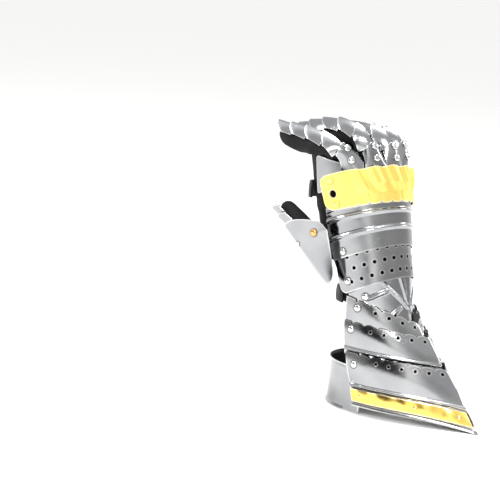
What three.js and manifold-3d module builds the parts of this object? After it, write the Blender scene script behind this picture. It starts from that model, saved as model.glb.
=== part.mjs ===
// Armoured gauntlet for the right hand, standing on the mouth of its cuff.
// Millimetres, +Z up towards the fingers, +X the back of the arm, -Y the thumb side.
// Steel and brass plates are thin curved shells, each lofted between a lower and an upper edge.
import * as THREE from "three";
import { mergeVertices } from "three/addons/utils/BufferGeometryUtils.js";
import Module from "manifold-3d";

const wasm = await Module();
wasm.setup();

// ---- driving dimensions -------------------------------------------------
const STEEL_WALL = 1.2;
const BRASS_WALL = 1.2;
const GLOVE_WALL = 1.6;
const STRAP_WALL = 2.0;
const LAYER_GAP = 0.5;
const KEEL_POWER = 3;
const HOLE_RADIUS = 1.9;
const HOLE_SIDES = 5;
const EYELET_RADIUS = 3.7;
const EYELET_SIDES = 8;
const RIVET_RADIUS = 3.6;
const RIVET_HEIGHT = 2.2;
const SMALL_RIVET_RADIUS = 2.2;
const SMALL_RIVET_HEIGHT = 1.4;
const RIVET_SIDES = 6;
const SCALLOP_DEPTH = 3.2;
const HOLE_INSET = 6.5;
const SHORTEST_EDGE = 0.02;

// Edge curves of the plates. A curve runs from the thumb side over the ridge to the little-finger
// side: a part of an ellipse (centre x, half depth, half width) drawn out at the ridge by the keel,
// turned about the arm by the twist. Its height goes from end to ridge as (1 - |s|)^power, or for
// power 0 as a slanting plane does.
const COLUMNS = ["centre", "depth", "width", "keel", "twist", "span", "zRidge", "zEnd", "power"];
const EDGES = {
  //                    centre depth width keel twist span zRidge zEnd power
  cuffLower:            [-28,   74,   43.5, 49,    0,  88,    0,    9, 3],
  cuffUpper:            [-40,   82,   43.0, 10,    0,  90,   57,   62, 2],
  lowerLameLower:       [-42,   79,   41.0, 16,    0,  90,   47,   53, 2],
  lowerLameUpper:       [-46,   65,   41.2,  9,    0,  90,   85,   93, 1.3],
  upperLameLower:       [-46,   63,   39.0,  9,    0,  90,   74,   83, 1.6],
  upperLameUpper:       [-47,   55,   39.4,  7,    0,  90,   96,  117, 1.2],
  wristLower:           [-44,   46,   36.5,  7,    0,  90,   86,  104, 1.2],
  wristUpper:           [-44,   38.5, 38.2,  0,   -6,  90,  148,  131, 0],
  perforatedLower:      [-45,   44,   41.6,  0,   -8,  92,  141,  117, 0],
  perforatedUpper:      [-55,   44.5, 42.2,  0,  -13,  92,  180,  157, 0],
  metacarpalLower:      [-54.4, 48,   45.2,  0,  -13,  92,  173,  149, 0],
  metacarpalUpper:      [-64.5, 47.5, 47.2,  0,  -16,  92,  224,  206, 0],
  knucklePlateLower:    [-63.6, 52.2, 50.2,  0,  -16,  86,  216,  197, 0],
  knucklePlateUpper:    [-74.5, 53.9, 54.3,  0,  -18,  82,  252,  229, 0],
  knuckleLameLower:     [-71,   48.6, 48.0,  0,  -18,  96,  236,  216, 0],
  knuckleLameUpper:     [-76,   47.4, 48.3,  0,  -18,  98,  247,  253, 0],
};

// Lobes of the scalloped upper edges: first cut-out from the ridge, pitch, number per side,
// and where the side rivet sits, all measured along the edge.
const LOBES = {
  cuff:      { first: 6.6, pitch: 13.2, holes: 6, rivet: 98, rivetInset: 12 },
  lowerLame: { first: 6.8, pitch: 13.6, holes: 5, rivet: 82, rivetInset: 8 },
  upperLame: { first: 7.0, pitch: 14.0, holes: 4, rivet: 68, rivetInset: 8 },
};

const STEEL = { color: 0xb9bbbd, roughness: 0.25, metalness: 1.0 };
const BRASS = { color: 0xd9b45a, roughness: 0.35, metalness: 1.0 };
const LEATHER = { color: 0x0d0d0f, roughness: 0.8, metalness: 0.0 };

const DEG = Math.PI / 180;
const gauntlet = new THREE.Group();

// ---- solids -------------------------------------------------------------
function toSolid(geometry) {
  const bare = geometry.index ? geometry.toNonIndexed() : geometry.clone();
  bare.deleteAttribute("normal");
  bare.deleteAttribute("uv");
  const merged = mergeVertices(bare, 1e-4);
  const mesh = new wasm.Mesh({
    numProp: 3,
    vertProperties: new Float32Array(merged.attributes.position.array),
    triVerts: new Uint32Array(merged.index.array),
  });
  return new wasm.Manifold(mesh);
}

function toGeometry(solid) {
  const mesh = solid.simplify(SHORTEST_EDGE).getMesh();
  const geometry = new THREE.BufferGeometry();
  geometry.setAttribute("position", new THREE.BufferAttribute(mesh.vertProperties, 3));
  geometry.setIndex(new THREE.BufferAttribute(mesh.triVerts, 1));
  return geometry;
}

function addPiece(name, solid, look) {
  const material = new THREE.MeshStandardMaterial(look);
  material.name = name;
  const mesh = new THREE.Mesh(toGeometry(solid), material);
  mesh.name = name;
  gauntlet.add(mesh);
}

// Closed solid from two matching grids of points, the outer face and the inner face.
function shellSolid(outer, inner) {
  const columns = outer.length;
  const rows = outer[0].length;
  const positions = [...outer.flat(), ...inner.flat()].flatMap((p) => [p.x, p.y, p.z]);
  const at = (side, i, j) => side * columns * rows + i * rows + j;
  const index = [];
  const quad = (a, b, c, d) => index.push(a, b, c, a, c, d);
  for (let i = 0; i < columns - 1; i += 1) {
    for (let j = 0; j < rows - 1; j += 1) {
      quad(at(0, i, j), at(0, i + 1, j), at(0, i + 1, j + 1), at(0, i, j + 1));
      quad(at(1, i, j), at(1, i, j + 1), at(1, i + 1, j + 1), at(1, i + 1, j));
    }
    quad(at(0, i, 0), at(1, i, 0), at(1, i + 1, 0), at(0, i + 1, 0));
    quad(at(0, i, rows - 1), at(0, i + 1, rows - 1), at(1, i + 1, rows - 1), at(1, i, rows - 1));
  }
  const end = columns - 1;
  for (let j = 0; j < rows - 1; j += 1) {
    quad(at(0, 0, j), at(0, 0, j + 1), at(1, 0, j + 1), at(1, 0, j));
    quad(at(0, end, j), at(1, end, j), at(1, end, j + 1), at(0, end, j + 1));
  }
  const geometry = new THREE.BufferGeometry();
  geometry.setAttribute("position", new THREE.Float32BufferAttribute(positions, 3));
  geometry.setIndex(index);
  return toSolid(geometry);
}

// Cylinder about a point, along a direction.
function pin(point, direction, radius, length, sides) {
  const geometry = new THREE.CylinderGeometry(radius, radius, length, sides);
  const turn = new THREE.Quaternion().setFromUnitVectors(new THREE.Vector3(0, 1, 0), direction);
  geometry.applyQuaternion(turn);
  geometry.translate(point.x, point.y, point.z);
  return toSolid(geometry);
}

// Domed rivet head, sunk half a wall into the plate that it is set in.
function rivet(point, direction, radius = RIVET_RADIUS, height = RIVET_HEIGHT) {
  const sunk = STEEL_WALL / 2;
  const profile = [
    [0, -sunk],
    [radius, -sunk],
    [radius * 0.85, height * 0.6],
    [0, height],
  ].map(([x, y]) => new THREE.Vector2(x, y));
  const geometry = new THREE.LatheGeometry(profile, RIVET_SIDES);
  const turn = new THREE.Quaternion().setFromUnitVectors(new THREE.Vector3(0, 1, 0), direction);
  geometry.applyQuaternion(turn);
  geometry.translate(point.x, point.y, point.z);
  return toSolid(geometry);
}

// ---- plates -------------------------------------------------------------
function edgeCurve(row) {
  const edge = Object.fromEntries(COLUMNS.map((name, i) => [name, row[i]]));
  const turn = edge.twist * DEG;
  return (s) => {
    const angle = s * edge.span * DEG;
    const near = Math.max(0, 1 - Math.abs(s));
    const lx = edge.depth * Math.cos(angle) + edge.keel * near ** KEEL_POWER;
    const ly = edge.width * Math.sin(angle);
    const rise = edge.power ? near ** edge.power : Math.cos(angle);
    return new THREE.Vector3(
      edge.centre + lx * Math.cos(turn) - ly * Math.sin(turn),
      lx * Math.sin(turn) + ly * Math.cos(turn),
      edge.zEnd + (edge.zRidge - edge.zEnd) * rise,
    );
  };
}

// Where on a curve, from its ridge, a given length of edge has been passed.
function positionAtLength(curve, length, steps = 400) {
  let passed = 0;
  let before = curve(0);
  for (let i = 1; i <= steps; i += 1) {
    const here = curve(i / steps);
    passed += here.distanceTo(before);
    if (passed >= length) return i / steps;
    before = here;
  }
  return 1;
}

// A plate's face: the ruled surface from lower to upper edge, moved outwards by its relief.
// top and bottom say what share of the height the trimmed edges cut off at s.
function plateFace({ lower, upper, relief = () => 0, top = () => 0, bottom = () => 0 }) {
  const low = edgeCurve(lower);
  const high = edgeCurve(upper);
  const ruled = (s, t) => {
    const share = bottom(s) + t * (1 - top(s) - bottom(s));
    return low(s).lerp(high(s), share);
  };
  const normal = (s, t) => {
    const step = 1e-3;
    const along = ruled(s + step, t).sub(ruled(s - step, t));
    const up = ruled(s, t + step).sub(ruled(s, t - step));
    return along.cross(up).normalize();
  };
  const point = (s, t, depth = 0) =>
    ruled(s, t).addScaledVector(normal(s, t), relief(s, t) - depth);
  return { point, normal };
}

function plateSolid(face, columns, rows, wall = STEEL_WALL) {
  const grid = (depth) => columns.map((s) => rows.map((t) => face.point(s, t, depth)));
  return shellSolid(grid(0), grid(wall));
}

function evenly(count, from = -1, to = 1) {
  return Array.from({ length: count + 1 }, (_, i) => from + ((to - from) * i) / count);
}

function cutHoles(solid, face, places, radius = HOLE_RADIUS, sides = HOLE_SIDES) {
  return places.reduce((left, [s, t]) => {
    const tool = pin(face.point(s, t, STEEL_WALL / 2), face.normal(s, t), radius, 12, sides);
    return left.subtract(tool);
  }, solid);
}

function setRivets(solid, face, places, radius = RIVET_RADIUS, height = RIVET_HEIGHT) {
  return places.reduce(
    (whole, [s, t]) => whole.add(rivet(face.point(s, t), face.normal(s, t), radius, height)),
    solid,
  );
}

// Rounded raised line at height share `at`, half as wide as `half`.
function bead(t, at, half, height) {
  return Math.max(0, 1 - Math.abs(t - at) / half) * height;
}

// Round-cornered ends: the share of the height cut off near the two ends.
function roundedCorner(s, reach, share) {
  const into = Math.max(0, Math.abs(s) - (1 - reach)) / reach;
  return share * (1 - Math.sqrt(Math.max(0, 1 - into * into)));
}

// A plate with a scalloped upper edge: one lobe for each hole, and a rivet at each side.
function scallopedPlate(lowerRow, upperRow, lobes, relief, rows) {
  const high = edgeCurve(upperRow);
  const low = edgeCurve(lowerRow);
  const place = (length) => positionAtLength(high, length);
  const lobeCount = lobes.holes + 1;
  const cusps = evenly(lobeCount, 0, lobeCount).map((k) => place(k * lobes.pitch));
  const half = [];
  for (let k = 0; k < lobeCount; k += 1) {
    half.push(cusps[k], place((k + 0.5) * lobes.pitch));
  }
  half.push(cusps[lobeCount]);
  const ends = [...half.filter((s) => s < 0.99), 1];
  const columns = [...ends.slice(1).reverse().map((s) => -s), ...ends];
  const top = (s) => {
    const a = Math.abs(s);
    const k = Math.max(0, cusps.findIndex((c) => c > a) - 1);
    const inLobe = a >= cusps[lobeCount] ? 0 : (a - cusps[k]) / (cusps[k + 1] - cusps[k]);
    const height = low(s).distanceTo(high(s));
    return ((1 - Math.sqrt(Math.max(0, Math.sin(Math.PI * inLobe)))) * SCALLOP_DEPTH) / height;
  };
  const face = plateFace({ lower: lowerRow, upper: upperRow, relief, top });
  const smooth = plateFace({ lower: lowerRow, upper: upperRow });
  let solid = plateSolid(face, columns, rows);
  const places = [];
  for (let k = 0; k < lobes.holes; k += 1) {
    const s = place(lobes.first + k * lobes.pitch);
    const t = 1 - HOLE_INSET / low(s).distanceTo(high(s));
    places.push([s, t], [-s, t]);
  }
  solid = cutHoles(solid, smooth, places);
  const side = place(lobes.rivet);
  const t = 1 - lobes.rivetInset / low(side).distanceTo(high(side));
  return { face, smooth, solid: setRivets(solid, smooth, [[side, t], [-side, t]]) };
}

// ---- cuff ---------------------------------------------------------------
const RIM_SHARE = 0.07;
const RIM_LIFT = 1.4;
const CUFF_FLUTE_AT = 0.39;
const TRIM_SHARES = [0.09, 0.33];

function cuffRelief(s, t) {
  return bead(t, 0, RIM_SHARE, RIM_LIFT) + bead(t, CUFF_FLUTE_AT, 0.05, 1.8);
}

function makeCuff() {
  const rows = [0, RIM_SHARE, 0.34, CUFF_FLUTE_AT, 0.44, 1];
  const cuff = scallopedPlate(EDGES.cuffLower, EDGES.cuffUpper, LOBES.cuff, cuffRelief, rows);
  const bandRivets = [[-0.97, 0.42], [0.97, 0.42]];
  addPiece("cuff_plate",
    setRivets(cuff.solid, cuff.smooth, bandRivets, SMALL_RIVET_RADIUS, SMALL_RIVET_HEIGHT), STEEL);

  const lift = BRASS_WALL + 2 * LAYER_GAP;
  const trimFace = plateFace({
    lower: EDGES.cuffLower,
    upper: EDGES.cuffUpper,
    relief: () => lift,
  });
  const [from, to] = TRIM_SHARES;
  for (const [name, side] of [["cuff_trim_thumb_side", -1], ["cuff_trim_little_side", 1]]) {
    const columns = side < 0 ? evenly(8, -0.99, -0.012) : evenly(8, 0.012, 0.99);
    const strip = plateSolid(trimFace, columns, [from, to], BRASS_WALL);
    const heads = [0.08, 0.42, 0.9].map((s) => [s * side, (from + to) / 2]);
    addPiece(name, setRivets(strip, trimFace, heads, SMALL_RIVET_RADIUS, SMALL_RIVET_HEIGHT), BRASS);
  }
}

// Band that closes the cuff on the palm side, standing on its flat lower rim.
const BAND = {
  centre: -32, depth: 48, width: 40.6, height: 48, from: 76, rim: 1.2, rimFrom: 96, rimRunOut: 6,
};

function makeCuffBand() {
  const angles = evenly(20, BAND.from, 360 - BAND.from);
  const levels = [0, 0.06, 0.94, 1];
  const ring = (extra) => angles.map((degrees) => levels.map((level) => {
    const rolled = level === 0 || level === 1 ? rimRoll(degrees) : 0;
    const out = extra + (extra < 0 ? 0 : rolled);
    return new THREE.Vector3(
      BAND.centre + (BAND.depth + out) * Math.cos(degrees * DEG),
      (BAND.width + out) * Math.sin(degrees * DEG),
      BAND.height * level,
    );
  }));
  addPiece("cuff_band", shellSolid(ring(0), ring(-STEEL_WALL)), STEEL);
}

// The rolled rims stop where the band slips inside the cuff plate.
function rimRoll(degrees) {
  const past = Math.min(degrees, 360 - degrees) - BAND.rimFrom;
  return THREE.MathUtils.clamp(past / BAND.rimRunOut, 0, 1) * BAND.rim;
}

// ---- lames and wrist ----------------------------------------------------
function makeLames() {
  const lowerRelief = (s, t) => bead(t, 0.3, 0.07, 1.8);
  const lower = scallopedPlate(EDGES.lowerLameLower, EDGES.lowerLameUpper, LOBES.lowerLame,
    lowerRelief, [0, 0.23, 0.3, 0.37, 1]);
  addPiece("lower_lame", lower.solid, STEEL);
  const upper = scallopedPlate(EDGES.upperLameLower, EDGES.upperLameUpper, LOBES.upperLame,
    () => 0, [0, 0.5, 1]);
  addPiece("upper_lame", upper.solid, STEEL);
}

function makeWristPlate() {
  const face = plateFace({ lower: EDGES.wristLower, upper: EDGES.wristUpper });
  const solid = plateSolid(face, evenly(24), [0, 1]);
  addPiece("wrist_plate", setRivets(solid, face, [[-0.72, 0.5], [0.72, 0.5]]), STEEL);
}

// Rows of holes: heights, holes in a row, where a row begins and its pitch.
const HOLE_ROWS = { heights: [0.22, 0.52, 0.82], count: 11, first: -0.8, pitch: 1.6 / 11 };

function makePerforatedLame() {
  const face = plateFace({
    lower: EDGES.perforatedLower,
    upper: EDGES.perforatedUpper,
    bottom: (s) => roundedCorner(s, 0.12, 0.3),
  });
  const solid = plateSolid(face, [-1, -0.96, ...evenly(18, -0.88, 0.88), 0.96, 1],
    [0, 1]);
  const places = HOLE_ROWS.heights.flatMap((t, row) => {
    const shift = row % 2 ? 0.5 : 0;
    return evenly(HOLE_ROWS.count - 1, shift, HOLE_ROWS.count - 1 + shift)
      .map((k) => [HOLE_ROWS.first + k * HOLE_ROWS.pitch, t]);
  });
  const pierced = cutHoles(solid, face, places);
  addPiece("perforated_lame", setRivets(pierced, face, [[-0.85, 0.27], [0.85, 0.27]]), STEEL);
}

// ---- back of the hand ---------------------------------------------------
function makeMetacarpalPlate() {
  const relief = (s, t) => bead(t, 0.37, 0.07, 1.7) + bead(t, 0.69, 0.07, 1.7);
  const bottom = (s) => roundedCorner(s, 0.1, 0.12);
  const face = plateFace({
    lower: EDGES.metacarpalLower, upper: EDGES.metacarpalUpper, relief, bottom });
  const solid = plateSolid(face, [-1, -0.97, ...evenly(18, -0.9, 0.9), 0.97, 1],
    [0, 0.3, 0.37, 0.44, 0.62, 0.69, 0.76, 1]);
  addPiece("metacarpal_plate", setRivets(solid, face, [[-0.8, 0.11], [0.8, 0.11]]), STEEL);
}

const CORRUGATION = { half: 0.42, waves: 7, height: 1.1 };

function corrugation(s) {
  if (Math.abs(s) > CORRUGATION.half) return 0;
  const phase = ((s + CORRUGATION.half) / (2 * CORRUGATION.half)) * CORRUGATION.waves;
  return CORRUGATION.height * Math.sin(Math.PI * (phase % 1));
}

// The lower edge is cut back a little between two waves of the corrugation.
function makeKnucklePlate() {
  const lobes = (s) => (Math.abs(s) < 0.5 ? 0.06 * (1 - corrugation(s)) : 0);
  const face = plateFace({
    lower: EDGES.knucklePlateLower,
    upper: EDGES.knucklePlateUpper,
    relief: corrugation,
    bottom: (s) => roundedCorner(s, 0.16, 0.28) + lobes(s),
    top: (s) => roundedCorner(s, 0.12, 0.18),
  });
  const columns = [-1, -0.95, -0.86, -0.64,
    ...evenly(4 * CORRUGATION.waves, -CORRUGATION.half, CORRUGATION.half),
    0.64, 0.86, 0.95, 1];
  const solid = plateSolid(face, columns, [0, 1], BRASS_WALL);
  const pierced =
    cutHoles(solid, face, [[-0.84, 0.45], [0.84, 0.45]], EYELET_RADIUS, EYELET_SIDES);
  addPiece("knuckle_plate",
    setRivets(pierced, face, [[-0.82, 0.14], [-0.84, 0.82], [0.82, 0.14], [0.84, 0.82]]), BRASS);
}

function makeKnuckleLame() {
  const face = plateFace({
    lower: EDGES.knuckleLameLower,
    upper: EDGES.knuckleLameUpper,
    top: (s) => roundedCorner(s, 0.1, 0.3),
    bottom: (s) => roundedCorner(s, 0.05, 0.1),
  });
  addPiece("knuckle_lame", plateSolid(face,
    [-1, -0.96, -0.9, ...evenly(16, -0.8, 0.8), 0.9, 0.96, 1], [0, 1]), STEEL);
}

// ---- fingers ------------------------------------------------------------
// Each finger's ridge line starts on the knuckles, at an angle about the hand, and runs as one
// curve whose control points are given as (forward, up) from that start.
const KNUCKLES = { centre: -74.5, depth: 51.5, width: 51.9, twist: -18, height: 243 };
const FINGERS = [
  { name: "index",  half: 11.6, deep: 6, angle: -43.5, aim: -1, scales: 4, rivets: [11, 24],
    c1: [1, 29], c2: [22, 41], c3: [94, 40] },
  { name: "middle", half: 11.4, deep: 6, angle: -16, aim: 4, scales: 5, rivets: [15, 27],
    c1: [0, 43], c2: [30, 65], c3: [106, 37] },
  { name: "ring",   half: 10.8, deep: 5, angle: 10, aim: 4, scales: 4, rivets: [15, 27],
    c1: [0, 44], c2: [26, 60], c3: [106, 33] },
  { name: "little", half: 10.0, deep: 5, angle: 35, aim: 2, scales: 4, rivets: [15, 27],
    c1: [0, 42], c2: [24, 56], c3: [92, 28] },
];
const ROOT_LENGTH = 32;
const TIP_NARROWING = 0.86;
const SCALE_DROP = [12.5, 9.5];
const SCALE_OVERLAP = 6;
const SCALE_SHRINK = 0.86;
const TUCK_UNDER = 2.8;
const TUCK_IN = 2.0;

// The finger's frame at a length along its ridge line: position, outward normal and side direction.
function fingerLine(finger) {
  const turn = KNUCKLES.twist * DEG;
  const angle = finger.angle * DEG;
  const lx = KNUCKLES.depth * Math.cos(angle);
  const ly = KNUCKLES.width * Math.sin(angle);
  const start = new THREE.Vector3(
    KNUCKLES.centre + lx * Math.cos(turn) - ly * Math.sin(turn),
    lx * Math.sin(turn) + ly * Math.cos(turn),
    KNUCKLES.height,
  );
  const forward = new THREE.Vector3(
    -Math.cos(finger.aim * DEG), Math.sin(finger.aim * DEG), 0);
  const control = ([ahead, up]) =>
    start.clone().addScaledVector(forward, ahead).add(new THREE.Vector3(0, 0, up));
  const curve = new THREE.CubicBezierCurve3(
    start, control(finger.c1), control(finger.c2), control(finger.c3));
  const length = curve.getLength();
  const sideAtStart = new THREE.Vector3(-Math.sin(angle + turn), Math.cos(angle + turn), 0);
  const sideAhead = new THREE.Vector3(forward.y, -forward.x, 0);
  const frame = (along) => {
    const share = THREE.MathUtils.clamp(along / length, 0, 1);
    const tangent = curve.getTangentAt(share);
    const settle = THREE.MathUtils.smoothstep(along, 0, ROOT_LENGTH * 1.3);
    const side = sideAtStart.clone().lerp(sideAhead, settle);
    const normal = side.cross(tangent).normalize();
    return {
      point: curve.getPointAt(share),
      normal,
      side: tangent.clone().cross(normal).normalize(),
    };
  };
  return { frame, length };
}

// Gutter-shaped scale over a ridge line, from one length along it to another. Its near end is
// tucked under the scale before it, and its far end is rounded off towards the sides.
function gutterPoint(frame, from, to, shape, s, t, depth = 0) {
  const { width, drop, tucked = true, round = 0.35, lean = 0 } = shape;
  const along = from + (to - from) * t * (1 - round * Math.abs(s) ** 2.5 * t);
  const { point, normal, side } = frame(along);
  const tuck = tucked ? (1 - t) ** 0.8 : 0;
  const wider = 1 + lean * Math.max(0, s);
  const half = width(t) * wider - tuck * TUCK_IN - depth * 0.8;
  const sink = drop(t) * wider * Math.abs(s) ** 1.6 + tuck * TUCK_UNDER + depth;
  return point.clone().addScaledVector(side, half * s).addScaledVector(normal, -sink);
}

function gutterSolid(frame, from, to, shape) {
  const { sides = 4, steps = 3 } = shape;
  const grid = (depth) => evenly(sides).map((s) =>
    evenly(steps, 0, 1).map((t) => gutterPoint(frame, from, to, shape, s, t, depth)));
  return shellSolid(grid(0), grid(STEEL_WALL));
}

const mix = (a, b, t) => a + (b - a) * t;

function makeFinger(finger) {
  const { frame, length } = fingerLine(finger);
  let root = gutterSolid(frame, 0, ROOT_LENGTH, {
    width: () => finger.half,
    drop: (t) => mix(1.6, 8, t),
    tucked: false,
    round: 0.3,
  });
  for (const along of finger.rivets) {
    const { point, normal } = frame(along);
    root = root.add(rivet(point, normal));
  }
  addPiece(`${finger.name}_root_plate`, root, STEEL);

  const remaining = length - ROOT_LENGTH;
  const shares = Array.from({ length: finger.scales }, (_, k) => SCALE_SHRINK ** k);
  const total = shares.reduce((sum, share) => sum + share, 0);
  let start = ROOT_LENGTH;
  shares.forEach((share, k) => {
    const end = start + (remaining * share) / total;
    const middle = (t) => (mix(start - SCALE_OVERLAP, end, t) - ROOT_LENGTH) / remaining;
    addPiece(`${finger.name}_scale_${k + 1}`, gutterSolid(frame, start - SCALE_OVERLAP, end, {
      width: (t) => finger.half * mix(1.02, TIP_NARROWING, THREE.MathUtils.clamp(middle(t), 0, 1)),
      drop: (t) => mix(...SCALE_DROP, THREE.MathUtils.clamp(middle(t), 0, 1)),
    }), STEEL);
    start = end;
  });
}

// ---- thumb --------------------------------------------------------------
// Ridge line of the thumb, and the way that its back faces at the base and at the tip.
const THUMB = {
  base: [-59, -56, 129], bend: [-97, -59, 161], tip: [-138, -56, 193],
  backAtBase: [-0.12, -0.97, -0.19], backAtTip: [-0.41, -0.71, -0.57],
};
const LEAF = {
  share: 0.76, narrow: 3, widening: 20, widestAt: 0.65, drop: 0.5, round: 0.34, lean: 0.42,
};
const THUMB_TIPS = [
  { from: 0.71, to: 0.89, half: 11.5, drop: 4.5 },
  { from: 0.83, to: 1.0, half: 10.5, drop: 4 },
];

function thumbLine() {
  const curve = new THREE.QuadraticBezierCurve3(
    ...[THUMB.base, THUMB.bend, THUMB.tip].map((p) => new THREE.Vector3(...p)));
  const atBase = new THREE.Vector3(...THUMB.backAtBase);
  const atTip = new THREE.Vector3(...THUMB.backAtTip);
  const length = curve.getLength();
  const frame = (along) => {
    const share = THREE.MathUtils.clamp(along / length, 0, 1);
    const tangent = curve.getTangentAt(share);
    const outward = atBase.clone().lerp(atTip, share);
    const side = tangent.clone().cross(outward).normalize();
    return { point: curve.getPointAt(share), normal: side.clone().cross(tangent), side };
  };
  return { frame, length };
}

function makeThumb() {
  const { frame, length } = thumbLine();
  const end = length * LEAF.share;
  const leaf = (t) => LEAF.narrow + LEAF.widening * Math.min(1, t / LEAF.widestAt) ** 0.75;
  const shape = {
    width: leaf,
    drop: (t) => leaf(t) * LEAF.drop,
    tucked: false,
    round: LEAF.round,
    lean: LEAF.lean,
    sides: 8,
    steps: 4,
  };
  const head = (s, t, radius, height) => {
    const at = (ds, dt) => gutterPoint(frame, 0, end, shape, s + ds, t + dt);
    const across = at(0.01, 0).sub(at(-0.01, 0));
    const along = at(0, 0.01).sub(at(0, -0.01));
    return rivet(at(0, 0), across.cross(along).normalize(), radius, height);
  };
  const plate = gutterSolid(frame, 0, end, shape)
    .add(head(0.74, 0.68, RIVET_RADIUS, RIVET_HEIGHT))
    .add(head(0, 0.68, SMALL_RIVET_RADIUS, SMALL_RIVET_HEIGHT));
  addPiece("thumb_plate", plate, STEEL);

  THUMB_TIPS.forEach((tip, k) => {
    addPiece(`thumb_scale_${k + 1}`, gutterSolid(frame, length * tip.from, length * tip.to, {
      width: () => tip.half,
      drop: () => tip.drop,
    }), STEEL);
  });
}

// ---- glove --------------------------------------------------------------
// Cross-sections of the hand, from the open wrist to the knuckles.
const PALM = [
  { z: 106, centre: -45, depth: 27, width: 31.0, twist: -4 },
  { z: 128, centre: -47, depth: 28, width: 33.0, twist: -6 },
  { z: 150, centre: -55, depth: 31, width: 37.0, twist: -10 },
  { z: 185, centre: -68, depth: 39, width: 40.5, twist: -14 },
  { z: 215, centre: -76, depth: 40, width: 41.5, twist: -17 },
  { z: 236, centre: -80, depth: 41, width: 41.5, twist: -18 },
  { z: 250, centre: -83, depth: 43, width: 41.0, twist: -18 },
  { z: 256, centre: -86, depth: 39, width: 37.0, twist: -18 },
];
const PALM_SIDES = 14;
const FINGER_SIDES = 6;
const FINGER_SLIMNESS = [0.63, 0.5];
const FINGER_DEEP = [9, 8];
const FINGER_PAD = 3.5;
const FINGER_BELOW_RIDGE = 6.1;
const THUMB_ACROSS = [10, 7];
const THUMB_DEEP = [15, 7];
const THUMB_BELOW_RIDGE = 6.6;

// Closed tube through rings of points, with a flat cap at each end.
function loftSolid(rings) {
  const sides = rings[0].length;
  const centre = (ring) =>
    ring.reduce((sum, p) => sum.add(p), new THREE.Vector3()).multiplyScalar(1 / sides);
  const points = [...rings.flat(), centre(rings[0]), centre(rings.at(-1))];
  const index = [];
  for (let k = 0; k < rings.length - 1; k += 1) {
    for (let i = 0; i < sides; i += 1) {
      const a = k * sides + i;
      const b = k * sides + ((i + 1) % sides);
      index.push(a, b, b + sides, a, b + sides, a + sides);
    }
  }
  const first = rings.length * sides;
  for (let i = 0; i < sides; i += 1) {
    const next = (i + 1) % sides;
    index.push(first, next, i, first + 1, first - sides + i, first - sides + next);
  }
  const geometry = new THREE.BufferGeometry();
  geometry.setAttribute("position",
    new THREE.Float32BufferAttribute(points.flatMap((p) => [p.x, p.y, p.z]), 3));
  geometry.setIndex(index);
  return toSolid(geometry);
}

function palmRings(inset) {
  return PALM.map((section, k) => {
    const lowest = k === 0 && inset > 0 ? -2 : 0;
    const highest = k === PALM.length - 1 ? inset : 0;
    const turn = section.twist * DEG;
    return evenly(PALM_SIDES, 0, 2 * Math.PI).slice(0, -1).map((angle) => {
      const lx = (section.depth - inset) * Math.cos(angle);
      const ly = (section.width - inset) * Math.sin(angle);
      return new THREE.Vector3(
        section.centre + lx * Math.cos(turn) - ly * Math.sin(turn),
        lx * Math.sin(turn) + ly * Math.cos(turn),
        section.z + lowest - highest,
      );
    });
  });
}

// Rings of a finger's tube, hanging under its ridge line; the last ones round off the tip.
// Across has the radii at the root and at the tip; deep and below are functions of the share.
function fingerRings(line, { from, across, deep, below }, inset) {
  const shares = [0, 0.25, 0.5, 0.75, 0.94, 1];
  return shares.map((share) => {
    const cap = share > 0.9 ? Math.sqrt(1 - ((share - 0.9) / 0.107) ** 2) : 1;
    const end = line.length * mix(from, 0.985, share) + inset * ((share === 0) - (share === 1));
    const { point, normal, side } = line.frame(end);
    const middle = point.addScaledVector(normal, -below(share) - deep(share));
    return evenly(FINGER_SIDES, 0, 2 * Math.PI).slice(0, -1).map((angle) => middle.clone()
      .addScaledVector(side, (mix(...across, share) - inset) * cap * Math.cos(angle))
      .addScaledVector(normal, -(deep(share) - inset) * cap * Math.sin(angle)));
  });
}

function gloveBody(inset) {
  const fingers = FINGERS.map((finger) => loftSolid(fingerRings(fingerLine(finger), {
    from: 0.08,
    across: FINGER_SLIMNESS.map((share) => share * finger.half),
    deep: (share) => mix(...FINGER_DEEP, share) + finger.deep * Math.max(0, 1 - share * 4)
      + FINGER_PAD * Math.sin(Math.PI * Math.max(0, share - 0.35) / 0.65),
    below: () => FINGER_BELOW_RIDGE,
  }, inset)));
  const thumb = loftSolid(fingerRings(thumbLine(), {
    from: 0.3,
    across: THUMB_ACROSS,
    deep: (share) => mix(...THUMB_DEEP, share),
    below: (share) => THUMB_BELOW_RIDGE + 12 * Math.max(0, 1 - share / 0.4),
  }, inset));
  return [...fingers, thumb].reduce((whole, part) => whole.add(part), loftSolid(palmRings(inset)));
}

function makeGlove() {
  addPiece("glove", gloveBody(0).subtract(gloveBody(GLOVE_WALL)), LEATHER);
}

// ---- straps -------------------------------------------------------------
// Flat bands round the palm side; angles are measured about the band's centre.
function strapSolid({ centre, depth, width, twist, low, high, slant, from }, wall = STRAP_WALL) {
  const turn = twist * DEG;
  const grid = (inset) => evenly(20, from, 360 - from).map((degrees) => [low, high].map((z) => {
    const lx = (depth - inset) * Math.cos(degrees * DEG);
    const ly = (width - inset) * Math.sin(degrees * DEG);
    return new THREE.Vector3(
      centre + lx * Math.cos(turn) - ly * Math.sin(turn),
      lx * Math.sin(turn) + ly * Math.cos(turn),
      z + slant * lx,
    );
  }));
  return shellSolid(grid(0), grid(wall));
}

function makeStraps() {
  addPiece("wrist_strap", strapSolid(
    { centre: -48, depth: 31.4, width: 35.4, twist: -4, low: 107, high: 121, slant: 0, from: 100 }),
  LEATHER);
  addPiece("knuckle_strap", strapSolid(
    { centre: -76, depth: 46, width: 47.4, twist: -17, low: 210, high: 228, slant: 0.15, from: 108 }),
  LEATHER);
}

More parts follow.
